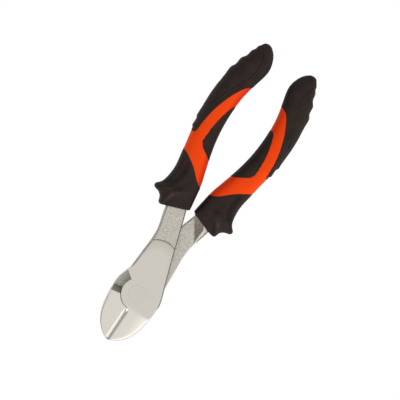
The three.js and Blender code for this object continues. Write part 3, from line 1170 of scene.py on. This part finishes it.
@dataclass(frozen=True)
class Terrace:
    """A small step in the palm shell's skin: lower on the line's right side, with a groove along it."""

    line: PlanCurve
    drop: float = 0.2
    groove: float = 0.36

    def lift(self, x: np.ndarray, y: np.ndarray) -> np.ndarray:
        """The step's height: a smooth fall over 0.6 mm, and a narrow bell-shaped groove on the line."""
        away = self.line.offset_from(x, y)
        return -self.drop * smooth(-away, -0.3, 0.3) - self.groove * np.exp(-((away / 0.32) ** 2))


@dataclass(frozen=True)
class Edge:
    """An edge between two zones of a grip, drawn in plan, and the stations between which it lies."""

    line: PlanCurve
    first: float
    last: float


# A grip's rails from its front end to its tail, out from the centre plane: inner x and y, outer x and y,
# half thickness, and how square the section is (the exponent of its superellipse).
GRIP_STATIONS = PlanCurve((
    (1.45, 53.6, 16.85, 47.9, 7.0, 5.0), (1.5, 54.6, 17.7, 49.0, 7.05, 4.6),
    (1.6, 55.6, 18.3, 50.4, 7.1, 4.3), (1.7, 56.5, 19.15, 51.8, 7.1, 4.0),
    (1.8, 57.3, 20.4, 52.85, 7.15, 3.8), (1.9, 58.0, 21.8, 53.45, 7.2, 3.6),
    (2.0, 58.7, 23.35, 53.8, 7.35, 3.5), (2.1, 59.4, 24.5, 54.7, 7.4, 3.4),
    (2.2, 60.1, 24.5, 56.2, 7.45, 3.3), (2.35, 61.0, 23.4, 57.7, 7.5, 3.2),
    (2.5, 62.0, 22.3, 59.3, 7.5, 3.1), (2.7, 63.4, 21.55, 61.3, 7.5, 3.0),
    (2.95, 65.0, 21.05, 63.8, 7.55, 2.9), (3.3, 67.2, 20.78, 67, 7.5, 2.8),
    (3.9, 70, 20.9, 70.4, 7.5, 2.7), (5.0, 73.6, 21.45, 74, 7.55, 2.65), (6.3, 78, 22.2, 78, 7.7, 2.6),
    (7.6, 82.3, 22.95, 82.2, 7.9, 2.55), (8.9, 87.3, 23.8, 87, 8.0, 2.5),
    (9.9, 92, 24.9, 92, 8.05, 2.5), (10.75, 97.5, 25.7, 97.5, 8.15, 2.5),
    (11.32, 104, 26.3, 104, 8.2, 2.5), (11.45, 111, 26.6, 111, 8.2, 2.5),
    (11.0, 118.5, 26.3, 118, 8.1, 2.5), (9.9, 125, 25.55, 124.7, 7.9, 2.5),
    (8.6, 130.6, 25.0, 130.4, 7.6, 2.45), (7.5, 135, 23.7, 135.4, 7.2, 2.4),
    (7.0, 138.8, 22.2, 139.5, 6.75, 2.4), (7.35, 142, 21.1, 143, 6.2, 2.35),
    (8.6, 145.6, 19.7, 146.2, 5.4, 2.3), (10.2, 148.2, 18.6, 148.6, 4.4, 2.3),
    (12.0, 150.0, 17.1, 150.4, 3.2, 2.2), (13.4, 150.9, 16.1, 151.0, 1.9, 2.1),
    (14.7, 151.2, 15.0, 151.2, 0.35, 2.0),
))
# The palm shell's outer side, with the corners of its scallops.
SCALLOPED_SIDE = PlanCurve((
    (23.2, 83.6), (23.95, 87.6), (24.35, 89.8), (24.6, 91.4), (24.95, 92.1), (25.45, 92.7),
    (25.6, 93.6), (25.65, 96.6), (25.85, 97.4), (26.25, 98.1), (26.5, 98.9), (26.55, 101), (26.65, 105),
    (26.85, 110), (26.85, 114), (26.6, 118.5), (26.2, 122.2), (25.9, 126), (25.8, 129), (25.6, 130.1),
    (25.2, 131.1), (24.5, 132.1), (24.1, 133.3), (23.9, 135), (23.75, 136.6), (23.3, 137.7),
    (22.5, 138.8), (21.8, 139.8), (21.4, 141.2), (21.1, 143), (20.8, 143.9), (20.2, 144.7),
    (19.7, 145.6), (19.4, 146.8), (19.1, 147.7), (18.5, 148.4), (18.0, 149.1), (17.1, 150.4),
    (16.1, 151.0),
))
COLLAR_EDGE = Edge(PlanCurve((
    (1, 66.2), (3.4, 66.6), (5, 67.1), (7, 68.35), (8.5, 69.6), (10, 71.0), (12, 72.9), (14, 74.5),
    (16, 75.85), (18, 77.1), (20, 78.3), (22, 79.2), (24, 79.8),
)), 8.0, 20.0)
PALM_EDGE = Edge(PlanCurve((
    (6, 127.3), (9, 127.1), (10.6, 126.5), (12.4, 125.3), (14.4, 122.7), (17.0, 117.8), (19.25, 112.2),
    (21.1, 105.8), (22.2, 99.5), (22.6, 94), (22.8, 91.3), (23.4, 90.2), (24.6, 89.9), (28, 89.8),
)), 15.0, 28.0)
PAD_LOWER_EDGE = Edge(PlanCurve((
    (5, 80.6), (8.2, 81.5), (10, 82.5), (12, 83.6), (14, 84.85), (15.4, 86), (16.5, 88), (16.8, 90),
    (16.84, 92),
)), 15.0, 22.0)
PAD_UPPER_EDGE = Edge(PlanCurve((
    (5, 114.0), (10, 113.8), (11.6, 113.5), (12.6, 112.9), (13.35, 112), (14.08, 110), (15.2, 106),
    (16.0, 102), (16.5, 98), (16.8, 94), (16.84, 92),
)), 17.0, 26.0)

PAD_TOP = PAD_UPPER_EDGE.line.points[-1][0]


@dataclass(frozen=True)
class GripForm:
    """A grip's whole form: a superellipse section carried between two rails, with folds and terraces."""

    middle: float = 101.0
    stretch: float = 1.0
    shift: float = 0.0
    folds: tuple[Fold, ...] = (
        Fold(((17.0, 49.6), (16.2, 51.8), (15.4, 53.8), (14.6, 55.8), (13.4, 57.8), (12.0, 59.4)), 1.3, 1.25),
        Fold(((24.4, 55.7), (20.8, 57.1), (18.0, 58.4)), 1.2, 0.5),
        Fold(((15.0, 49.0), (13.8, 52.2), (12.6, 55.4)), 0.8, -0.35),
        Fold(((22.4, 57.8), (18.9, 61.2), (16.7, 65.0), (16.3, 69.6), (16.7, 74)), 1.75, -1.1),
        Fold(((12.2, 62.0), (11.4, 63.6), (10.8, 65.6)), 1.6, -0.3),
    )
    terraces: tuple[Terrace, ...] = (
        Terrace(PlanCurve((
            (26.2, 99.8), (25.2, 105), (23.8, 110.5), (21.5, 116.4), (19.9, 120), (18.4, 124),
            (16.95, 128), (15.9, 131.2), (15.2, 134), (14.9, 137.5), (15.1, 140.6), (15.9, 143.6),
            (17.2, 146.3), (18.8, 148.4),
        ))),
        Terrace(PlanCurve((
            (25.3, 93.6), (24.6, 100), (23.3, 106.4), (21.3, 112.4), (18.3, 120), (16.9, 124),
            (15.5, 128), (14.2, 131.4), (13.45, 134.4), (13.2, 137.4), (13.45, 140.4), (14.1, 143.4),
        )), 0.15, 0.27),
    )

    @property
    def last(self) -> int:
        """The number of the last station."""
        return len(GRIP_STATIONS.points) - 1

    def point(
        self, station: np.ndarray, angle: np.ndarray, lift: np.ndarray, detailed: bool = True,
    ) -> np.ndarray:
        """Points of the form, as the front half's grip lies.

        The section is a superellipse: its reach across is the half width times sign(cos a)|cos a|^(2/n), and
        its height is the half thickness times sign(sin a)|sin a|^(2/n). The lift widens and thickens it by
        the same length; folds and terraces thicken it by their height and widen it by a quarter of that.

        Args:
            station: the places along the rails, counted in stations.
            angle: the places round the section, 0 at the outer rail and growing towards +Z.
            lift: how far out of the form the point stands.
            detailed: whether to add the folds and terraces.

        Returns:
            The points, in an array with one more axis.
        """
        place = GRIP_STATIONS.at(station)
        inner, outer = place[..., 0:2], place[..., 2:4]
        scalloped = smooth(outer[..., 1], 84, 87) * (outer[..., 1] < 151)
        outer_x = outer[..., 0] + (SCALLOPED_SIDE.x_at(outer[..., 1]) - outer[..., 0]) * scalloped
        outer = np.stack([outer_x, outer[..., 1]], axis=-1)
        reach = (outer - inner) / 2
        length = np.hypot(reach[..., 0], reach[..., 1])
        power = 2 / place[..., 5]
        across = np.sign(np.cos(angle)) * np.abs(np.cos(angle)) ** power
        upward = np.sign(np.sin(angle)) * np.abs(np.sin(angle)) ** power
        middle = (inner + outer) / 2
        base_x = middle[..., 0] + reach[..., 0] * across
        base_y = middle[..., 1] + reach[..., 1] * across
        raised = self.relief(base_x, base_y) if detailed else 0.0
        wide = (length + lift + 0.25 * raised) / np.maximum(length, 1e-6)
        x = middle[..., 0] + reach[..., 0] * wide * across
        y = middle[..., 1] + reach[..., 1] * wide * across
        z = np.maximum(place[..., 4] + lift + raised, 0.05) * upward
        return np.stack([-x, self.middle + (y - self.middle) * self.stretch, z], axis=-1)

    def relief(self, x: np.ndarray, y: np.ndarray) -> np.ndarray:
        """The height of the folds and terraces, with the terraces moved aside on the half that has a shift.

        Args:
            x: the places' distance from the centre plane.
            y: the places' y.

        Returns:
            The height at each, in millimetres outwards.
        """
        total = sum(fold.lift(x, y) for fold in self.folds)
        in_palm = smooth(y, 90.4, 92.5)
        moved = x + 2 * self.shift + 3.4 * max(self.shift, 0) * smooth(y, 119, 131)
        return total + in_palm * sum(terrace.lift(moved, y) for terrace in self.terraces)

    def crease(self, x: np.ndarray, y: np.ndarray) -> np.ndarray:
        """Painted shade in the folds' valleys: their depth in millimetres, from 0 to 1."""
        return np.clip(-sum(fold.lift(x, y) for fold in self.folds), 0, 1)

    def crest_highlight(self, x: np.ndarray, y: np.ndarray) -> np.ndarray:
        """A painted highlight on the first fold's crest: a bell across it and along it."""
        ridge = self.folds[0]
        return (ridge.lift(x, y) / ridge.height) ** 1.5 * np.exp(-(((y - 55.3) / 2.3) ** 2))

    def crossing(self, angle: np.ndarray, edge: Edge) -> np.ndarray:
        """Where lines along the form, one for each angle, cross an edge.

        Args:
            angle: the lines' angles round the section.
            edge: the edge.

        Returns:
            The station of the first crossing on each line.
        """
        station = np.linspace(edge.first, edge.last, 700)
        grid_s, grid_a = np.meshgrid(station, angle, indexing="ij")
        place = self.point(grid_s, grid_a, np.zeros_like(grid_s), detailed=False)
        beyond = place[..., 1] - edge.line.y_at(self.shift - place[..., 0])
        past = beyond > 0
        after = np.where(past.any(0), np.clip(past.argmax(0), 1, None), len(station) - 1)
        columns = np.arange(len(angle))
        low, high = beyond[after - 1, columns], beyond[after, columns]
        share = np.clip(-low / np.where(np.abs(high - low) < 1e-9, 1, high - low), 0, 1)
        return station[after - 1] + share * (station[after] - station[after - 1])


@dataclass(frozen=True)
class Grip:
    """One half's grip: a hard core with three soft zones let into it."""

    side: Side
    form: GripForm
    around: int = 144
    depth: float = 1.25
    gap: float = 0.12
    proud: float = 0.12
    lip: float = 0.35
    nose: float = 0.55
    inner_end: float = 1.4
    station_length: float = 4.2
    opening_rings: tuple[tuple[float, float, float], ...] = ((-8.75, 53.3, 5.55), (-8.2, 50.95, 5.6))
    opening_way: tuple[float, float] = (0.945, 0.327)
    opening_height: float = 5.75
    # How strongly the folds' valleys get painted shade.
    painted_light: float = 0.3
    # How strongly the core's inner side gets painted shade.
    core_shade: float = 1.0

    @property
    def angles(self) -> np.ndarray:
        """The places round a section."""
        return np.linspace(0, 2 * math.pi, self.around, endpoint=False)

    def rows(self, start: np.ndarray, end: np.ndarray, count: int) -> np.ndarray:
        """Stations from start to end for each angle, closer together near both ends.

        Args:
            start: the first station for each angle.
            end: the last station for each angle.
            count: how many rows there are.

        Returns:
            The stations, by row and angle.
        """
        share = 0.5 - 0.5 * np.cos(np.linspace(0, math.pi, count))
        share = 0.65 * np.linspace(0, 1, count) + 0.35 * share
        return start + (end - start) * share[:, None]

    def edge_lift(self, distance: np.ndarray) -> np.ndarray:
        """How proud a soft zone stands at a distance from its edge: a quarter round of the lip's radius."""
        share = np.clip(distance / self.lip, 0, 1)
        return self.proud - self.lip * (1 - np.sqrt(np.clip(1 - (1 - share) ** 2, 0, 1)))

    def lip_rows(self, edge: np.ndarray, towards: float) -> tuple[np.ndarray, np.ndarray]:
        """Rows over a soft zone's lip, from the foot of its wall to the lip's top.

        Args:
            edge: the zone's edge, as a station for each angle.
            towards: 1 where the zone lies beyond the edge, -1 where it lies before it.

        Returns:
            The rows' stations and lifts, by row and angle.
        """
        step_in, step_off = rounded_edge(6)
        across = np.concatenate([[0, 0], step_in * self.lip])
        height = np.concatenate([[-self.depth, -self.lip], self.proud - self.lip * step_off])
        stations = edge + towards * (across / self.station_length)[:, None]
        return stations, np.broadcast_to(height[:, None], stations.shape)

    def inner_side_shade(self, turn: np.ndarray, start: float) -> np.ndarray:
        """Painted shade on the side towards the other grip: from a share of the way to the inner rail, up to
        the rail.
        """
        return smooth(np.abs(np.cos(turn)) ** 0.8 * (np.cos(turn) < 0), start, 1.0)

    def skin(self, station: np.ndarray, turn: np.ndarray, lift: np.ndarray, detail: np.ndarray) -> np.ndarray:
        """The form's points with a share of its folds and terraces.

        Args:
            station: the places along the rails.
            turn: the places round the section.
            lift: how far out of the form each point stands.
            detail: the share for each point, 0 for the plain form and 1 for all of them.

        Returns:
            The points.
        """
        plain = self.form.point(station, turn, lift, detailed=False)
        return plain + (self.form.point(station, turn, lift) - plain) * detail[..., None]

    def collar(self) -> Surface:
        """The collar: a sleeve with a front wall round the shank and a lip over the core.

        Returns:
            The surface.
        """
        angle = self.angles
        edge = self.form.crossing(angle, COLLAR_EDGE)
        lip_s, lip_h = (rows[::-1] for rows in self.lip_rows(edge, -1))
        nose_in, nose_off = (steps[:, None] + 0 * edge for steps in rounded_edge(7))
        body_s = self.rows(np.full_like(edge, self.nose), lip_s[0], 110)[1:-1]
        inner_s = self.rows(edge, np.full_like(edge, self.inner_end), 26)[1:]
        station = np.vstack([self.nose * nose_in, body_s, lip_s, inner_s])
        lift = np.vstack([
            self.proud - self.nose * nose_off, np.full_like(body_s, self.proud), lip_h,
            np.full_like(inner_s, -self.depth),
        ])
        turn = np.broadcast_to(angle, station.shape)
        skin = self.skin(station, turn, lift, smooth(np.minimum(lift + 0.6, 1), 0, 0.5))
        plan = -skin[..., 0], skin[..., 1]
        # Painted shade on the inner side and in the folds' valleys, less a painted highlight on the front
        # ridge's crest.
        painted_light = np.maximum(self.inner_side_shade(turn, 0.7), self.painted_light * self.form.crease(*plan)) - self.form.crest_highlight(*plan)
        opening = self.opening()
        marks = np.vstack([np.zeros(opening.shape[:2]), painted_light])
        surface = Surface()
        surface.add_tube(np.concatenate([opening, skin]), marks, closed=True)
        return surface

    def opening(self) -> np.ndarray:
        """The collar's opening: squared rings close round the shank, at the front wall and behind it.

        Each ring is a superellipse of exponent 9, square to the shank.

        Returns:
            The rings.
        """
        angle, power = self.angles, 2 / 9
        across = np.sign(np.cos(angle)) * np.abs(np.cos(angle)) ** power
        upward = np.sign(np.sin(angle)) * np.abs(np.sin(angle)) ** power
        rings = []
        for middle_x, middle_y, half in self.opening_rings:
            x = middle_x - half * across * self.opening_way[0]
            y = middle_y - half * across * self.opening_way[1]
            rings.append(np.stack([x, y, self.opening_height * upward], axis=-1))
        return np.array(rings)

    def core(self) -> Surface:
        """The hard core: the form itself where it shows, let down under the collar, palm shell and pad.

        Returns:
            The surface.
        """
        angle = self.angles
        first, second = self.form.crossing(angle, COLLAR_EDGE), self.form.crossing(angle, PALM_EDGE)
        front, back = np.full_like(first, 1.7), np.full_like(first, self.form.last - 2.6)
        low = -(self.depth + self.gap)
        hidden = self.rows(front, first, 22)
        shown = self.rows(first, second, 150)
        covered = self.rows(second, back, 30)
        station = np.vstack([hidden, shown, covered])
        lift = np.vstack([np.full_like(hidden, low), np.zeros_like(shown), np.full_like(covered, low)])
        turn = np.broadcast_to(angle, station.shape)
        plan = self.form.point(station, turn, np.zeros_like(station), detailed=False)
        x, y = self.form.shift - plan[..., 0], plan[..., 1]
        in_pad = np.minimum(y - PAD_LOWER_EDGE.line.y_at(x), PAD_UPPER_EDGE.line.y_at(x) - y)
        in_pad = np.minimum(in_pad, (PAD_TOP - x) * 2)
        lift = np.minimum(lift, low * smooth(in_pad, 0.25, 0.75))
        points = self.form.point(station, turn, lift, detailed=False)
        surface = Surface()
        # The marks are painted shade towards the inner rail.
        surface.add_tube(points, self.core_shade * self.inner_side_shade(turn, 0.45))
        return surface

    def palm_shell(self) -> Surface:
        """The palm shell: a cap over the tail that runs up the outer side, with a lip over the core.

        Returns:
            The surface.
        """
        angle = self.angles
        edge = self.form.crossing(angle, PALM_EDGE)
        lip_s, lip_h = self.lip_rows(edge, 1)
        tail = np.full_like(edge, float(self.form.last))
        body_s = self.rows(lip_s[-1], tail, 230)[1:]
        inner_s = self.rows(tail - 2.2, edge, 34)[:-1]
        station = np.vstack([inner_s, lip_s, body_s])
        body_h = self.proud * smooth(tail - body_s, 0, 1.5)
        lift = np.vstack([np.full_like(inner_s, -self.depth), lip_h, body_h])
        turn = np.broadcast_to(angle, station.shape)
        detail = smooth(lift, -0.6, 0.0) * smooth(tail - station, 0.4, 1.6)
        surface = Surface()
        # The marks are painted shade towards the inner rail.
        surface.add_tube(self.skin(station, turn, lift, detail), self.inner_side_shade(turn, 0.7))
        return surface

    def inner_pad(self) -> Surface:
        """The finger pad: a lens on the inner side that wraps from face to face, with a lip all round.

        The pad is a grid from face to face and from its lower to its upper edge. Its skin is the form, and a
        wall goes down all round to a floor.

        Returns:
            The surface.
        """
        half = self.pad_reach()
        share = np.sin(np.linspace(-math.pi / 2, math.pi / 2, 70))
        angle = math.pi + half * share
        low, high = self.form.crossing(angle, PAD_LOWER_EDGE), self.form.crossing(angle, PAD_UPPER_EDGE)
        high = np.maximum(high, low + 1e-3)
        along = 0.5 - 0.5 * np.cos(np.linspace(0, math.pi, 90))
        station = low + (high - low) * along[:, None]
        turn = np.broadcast_to(angle, station.shape)
        millimetres_a_station, millimetres_a_radian = 5.4, 7.5
        from_ends = np.minimum(along, 1 - along)[:, None] * (high - low) * millimetres_a_station
        from_sides = (1 - np.abs(share)) * half * millimetres_a_radian
        lift = self.edge_lift(np.minimum(from_ends, from_sides + 0 * station) + 0.02)
        top = self.form.point(station, turn, lift, detailed=False)
        floor = self.form.point(station, turn, np.full_like(lift, -self.depth), detailed=False)
        index = np.arange(station.size).reshape(station.shape)
        below = station.size
        quads = np.stack([index[:-1, :-1], index[:-1, 1:], index[1:, 1:], index[1:, :-1]], axis=-1)
        quads = quads.reshape(-1, 4)
        rim = np.concatenate([index[0, :-1], index[:-1, -1], index[-1, :0:-1], index[:0:-1, 0]])
        after = np.roll(rim, -1)
        wall = np.stack([rim, rim + below, after + below, after], axis=-1)
        return Surface(
            points=[top.reshape(-1, 3), floor.reshape(-1, 3)],
            faces=quads.tolist() + (quads[:, ::-1] + below).tolist() + wall.tolist(),
            # The marks are painted shade towards the inner rail, at half strength.
            marks=[np.tile(0.5 * self.inner_side_shade(turn, 0.7).ravel(), 2)],
        )

    def pad_reach(self) -> float:
        """How far round from the inner rail the pad reaches: to where its two edges meet.

        Returns:
            The angle.
        """
        angle = np.linspace(math.pi, math.pi * 0.45, 200)
        apart = self.form.crossing(angle, PAD_UPPER_EDGE) - self.form.crossing(angle, PAD_LOWER_EDGE)
        closed = np.flatnonzero(apart < 0.12)
        last = closed[0] if len(closed) else len(angle) - 1
        return float(math.pi - angle[last])

    def make(
        self, pivot: Pivot, soft: bpy.types.Material, hard: bpy.types.Material,
    ) -> list[bpy.types.Object]:
        """Build the four pieces, each riding on its half and standing for its CAD node.

        Args:
            pivot: where the halves turn.
            soft: the soft zones' finish.
            hard: the core's finish.

        Returns:
            The pieces.
        """
        parts: dict[str, tuple[Callable[[], Surface], bpy.types.Material, str]] = {
            "core": (self.core, hard, "grip_orange"),
            "collar": (self.collar, soft, "grip_black"),
            "palm_shell": (self.palm_shell, soft, "grip_black"),
            "inner_pad": (self.inner_pad, soft, "grip_black"),
        }
        pieces = []
        for part, (shape, finish, slot) in parts.items():
            surface = shape()
            surface.points = [pivot.placed(points, self.side) for points in surface.points]
            piece = surface.build(f"{self.side.grip}_{part}_skin")
            finish_shading(piece)
            piece.data.materials.append(finish)
            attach(piece, self.side.body)
            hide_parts(f"{self.side.grip}_grip_{part}")
            log.info("%s: %d faces", piece.name, len(piece.data.polygons))
            pieces.append(piece)
        return pieces


# ------------------------------------------------------------------------ the studio
@dataclass(frozen=True)
class Studio:
    """Floor, soft light and camera for a tool that lies on its rear side and is seen from above."""

    turn: float = math.radians(33.63)
    tilt: float = math.radians(4.8)
    box_turn: float = math.radians(49)
    target: tuple[float, float] = (0.42, 61.1)
    view_width: float = 216.2
    distance: float = 1600.0
    sensor: float = 36.0
    floor_middle: float = 60.0
    floor_radius: float = 3000.0
    floor_rise: float = 220.0

    def camera(self, pivot: Pivot) -> bpy.types.Object:
        """A long-lens camera almost straight above, leaning a little towards the front half's side.

        Args:
            pivot: the joint, whose height the target has.

        Returns:
            The camera.
        """
        data = bpy.data.cameras.new("camera")
        data.sensor_width = self.sensor
        data.lens = self.sensor * self.distance / self.view_width
        data.clip_end = 20
        camera = bpy.data.objects.new("camera", data)
        bpy.context.scene.collection.objects.link(camera)
        backward = Vector((-math.sin(self.tilt), 0, math.cos(self.tilt)))
        upward = Vector((-math.sin(self.turn), math.cos(self.turn), 0))
        sideways = upward.cross(backward).normalized()
        upward = backward.cross(sideways)
        target = Vector((self.target[0] + pivot.x, self.target[1] + pivot.y, pivot.z)) * MM
        place = target + backward * self.distance * MM
        axes = Matrix((sideways, upward, backward)).transposed()
        camera.matrix_world = Matrix.Translation(place) @ axes.to_4x4()
        bpy.context.scene.camera = camera
        return camera

    def floor(self, height: float) -> bpy.types.Object:
        """A pale floor: a wide round sheet that rises gently at its far rim.

        Args:
            height: its height in metres.

        Returns:
            The floor.
        """
        share = np.linspace(0, 1, 40)[:, None]
        angle = np.linspace(0, 2 * math.pi, 96, endpoint=False)
        radius = self.floor_radius * share
        rise = self.floor_rise * smooth(share, 0.7, 1.0) + height / MM
        rings = np.stack([
            radius * np.cos(angle), self.floor_middle + radius * np.sin(angle), rise + 0 * angle,
        ], axis=-1)
        mesh = bpy.data.meshes.new("floor")
        index = np.arange(rings[..., 0].size).reshape(rings.shape[:2])
        after = np.roll(index, -1, 1)
        quads = np.stack([index[:-1], after[:-1], after[1:], index[1:]], axis=-1)
        mesh.from_pydata((rings.reshape(-1, 3) * MM).tolist(), [], quads.reshape(-1, 4).tolist())
        floor = bpy.data.objects.new("floor", mesh)
        bpy.context.scene.collection.objects.link(floor)
        material = bpy.data.materials.new("floor")
        shader = Shader.of(material)
        shader.surface({
            "Base Color": (0.03, 0.03, 0.03, 1),
            "Roughness": 0.9,
            "Specular IOR Level": 0.0,
            "Emission Color": (1, 1, 1, 1),
            "Emission Strength": 0.995,
        })
        mesh.materials.append(material)
        floor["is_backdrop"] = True
        return floor

    def sky(self) -> None:
        """Soft light all round: bright overhead, dim low down, and a soft box beyond the tip to the right."""
        world = bpy.data.worlds.new("studio")
        bpy.context.scene.world = world
        shader = Shader.of(world)
        way = shader.node("ShaderNodeTexCoord", {}, {}, "Generated")
        box_way = (math.sin(self.box_turn), -math.cos(self.box_turn), 0.0)
        dot = {"operation": "DOT_PRODUCT"}
        up = shader.node("ShaderNodeVectorMath", dot, {0: way, 1: (0, 0, 1)}, "Value")
        aside = shader.node("ShaderNodeVectorMath", dot, {0: way, 1: box_way}, "Value")
        overhead = shader.between(up, 0.3, 0.9)
        softbox = shader.between(aside, 0.27, 0.64) * shader.between(up, -0.05, 0.1)
        strength = overhead * 0.72 + softbox * 1.15 + aside * 0.17 + 0.32
        colour = (1, 0.995, 0.985, 1)
        light = shader.node("ShaderNodeBackground", {}, {"Color": colour, "Strength": strength})
        shader.node("ShaderNodeOutputWorld", {}, {"Surface": light})


def main() -> None:
    """Build every piece around the frame, then the studio."""
    logging.basicConfig(level=logging.INFO, format="%(name)s %(message)s")
    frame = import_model()
    cad_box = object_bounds()
    pivot = Pivot.of(frame)
    studio = Studio()
    studio.camera(pivot)
    studio.sky()
    studio.floor(cad_box[0][2])
    bpy.context.scene.view_settings.view_transform = "Standard"
    steel, rivet_steel = ForgedSteel().make(), RivetSteel().make()
    soft, hard = SoftRubber().make(), HardPlastic().make()
    rivet = Rivet()
    grips = (
        Grip(Side.FRONT, GripForm(stretch=1.009, shift=0.3)),
        # The rear grip gets more painted shade in its folds' valleys and less on its core's inner side.
        Grip(Side.REAR, GripForm(stretch=0.991, shift=-0.3), painted_light=0.8, core_shade=0.35),
    )
    for grip in grips:
        half = SteelHalf(grip.side).make(pivot, rivet, steel)
        log.info("%s: %d faces", half.name, len(half.data.polygons))
        grip.make(pivot, soft, hard)
    log.info("%s", rivet.make(pivot, rivet_steel).name)


if __name__ == "__main__":
    main()
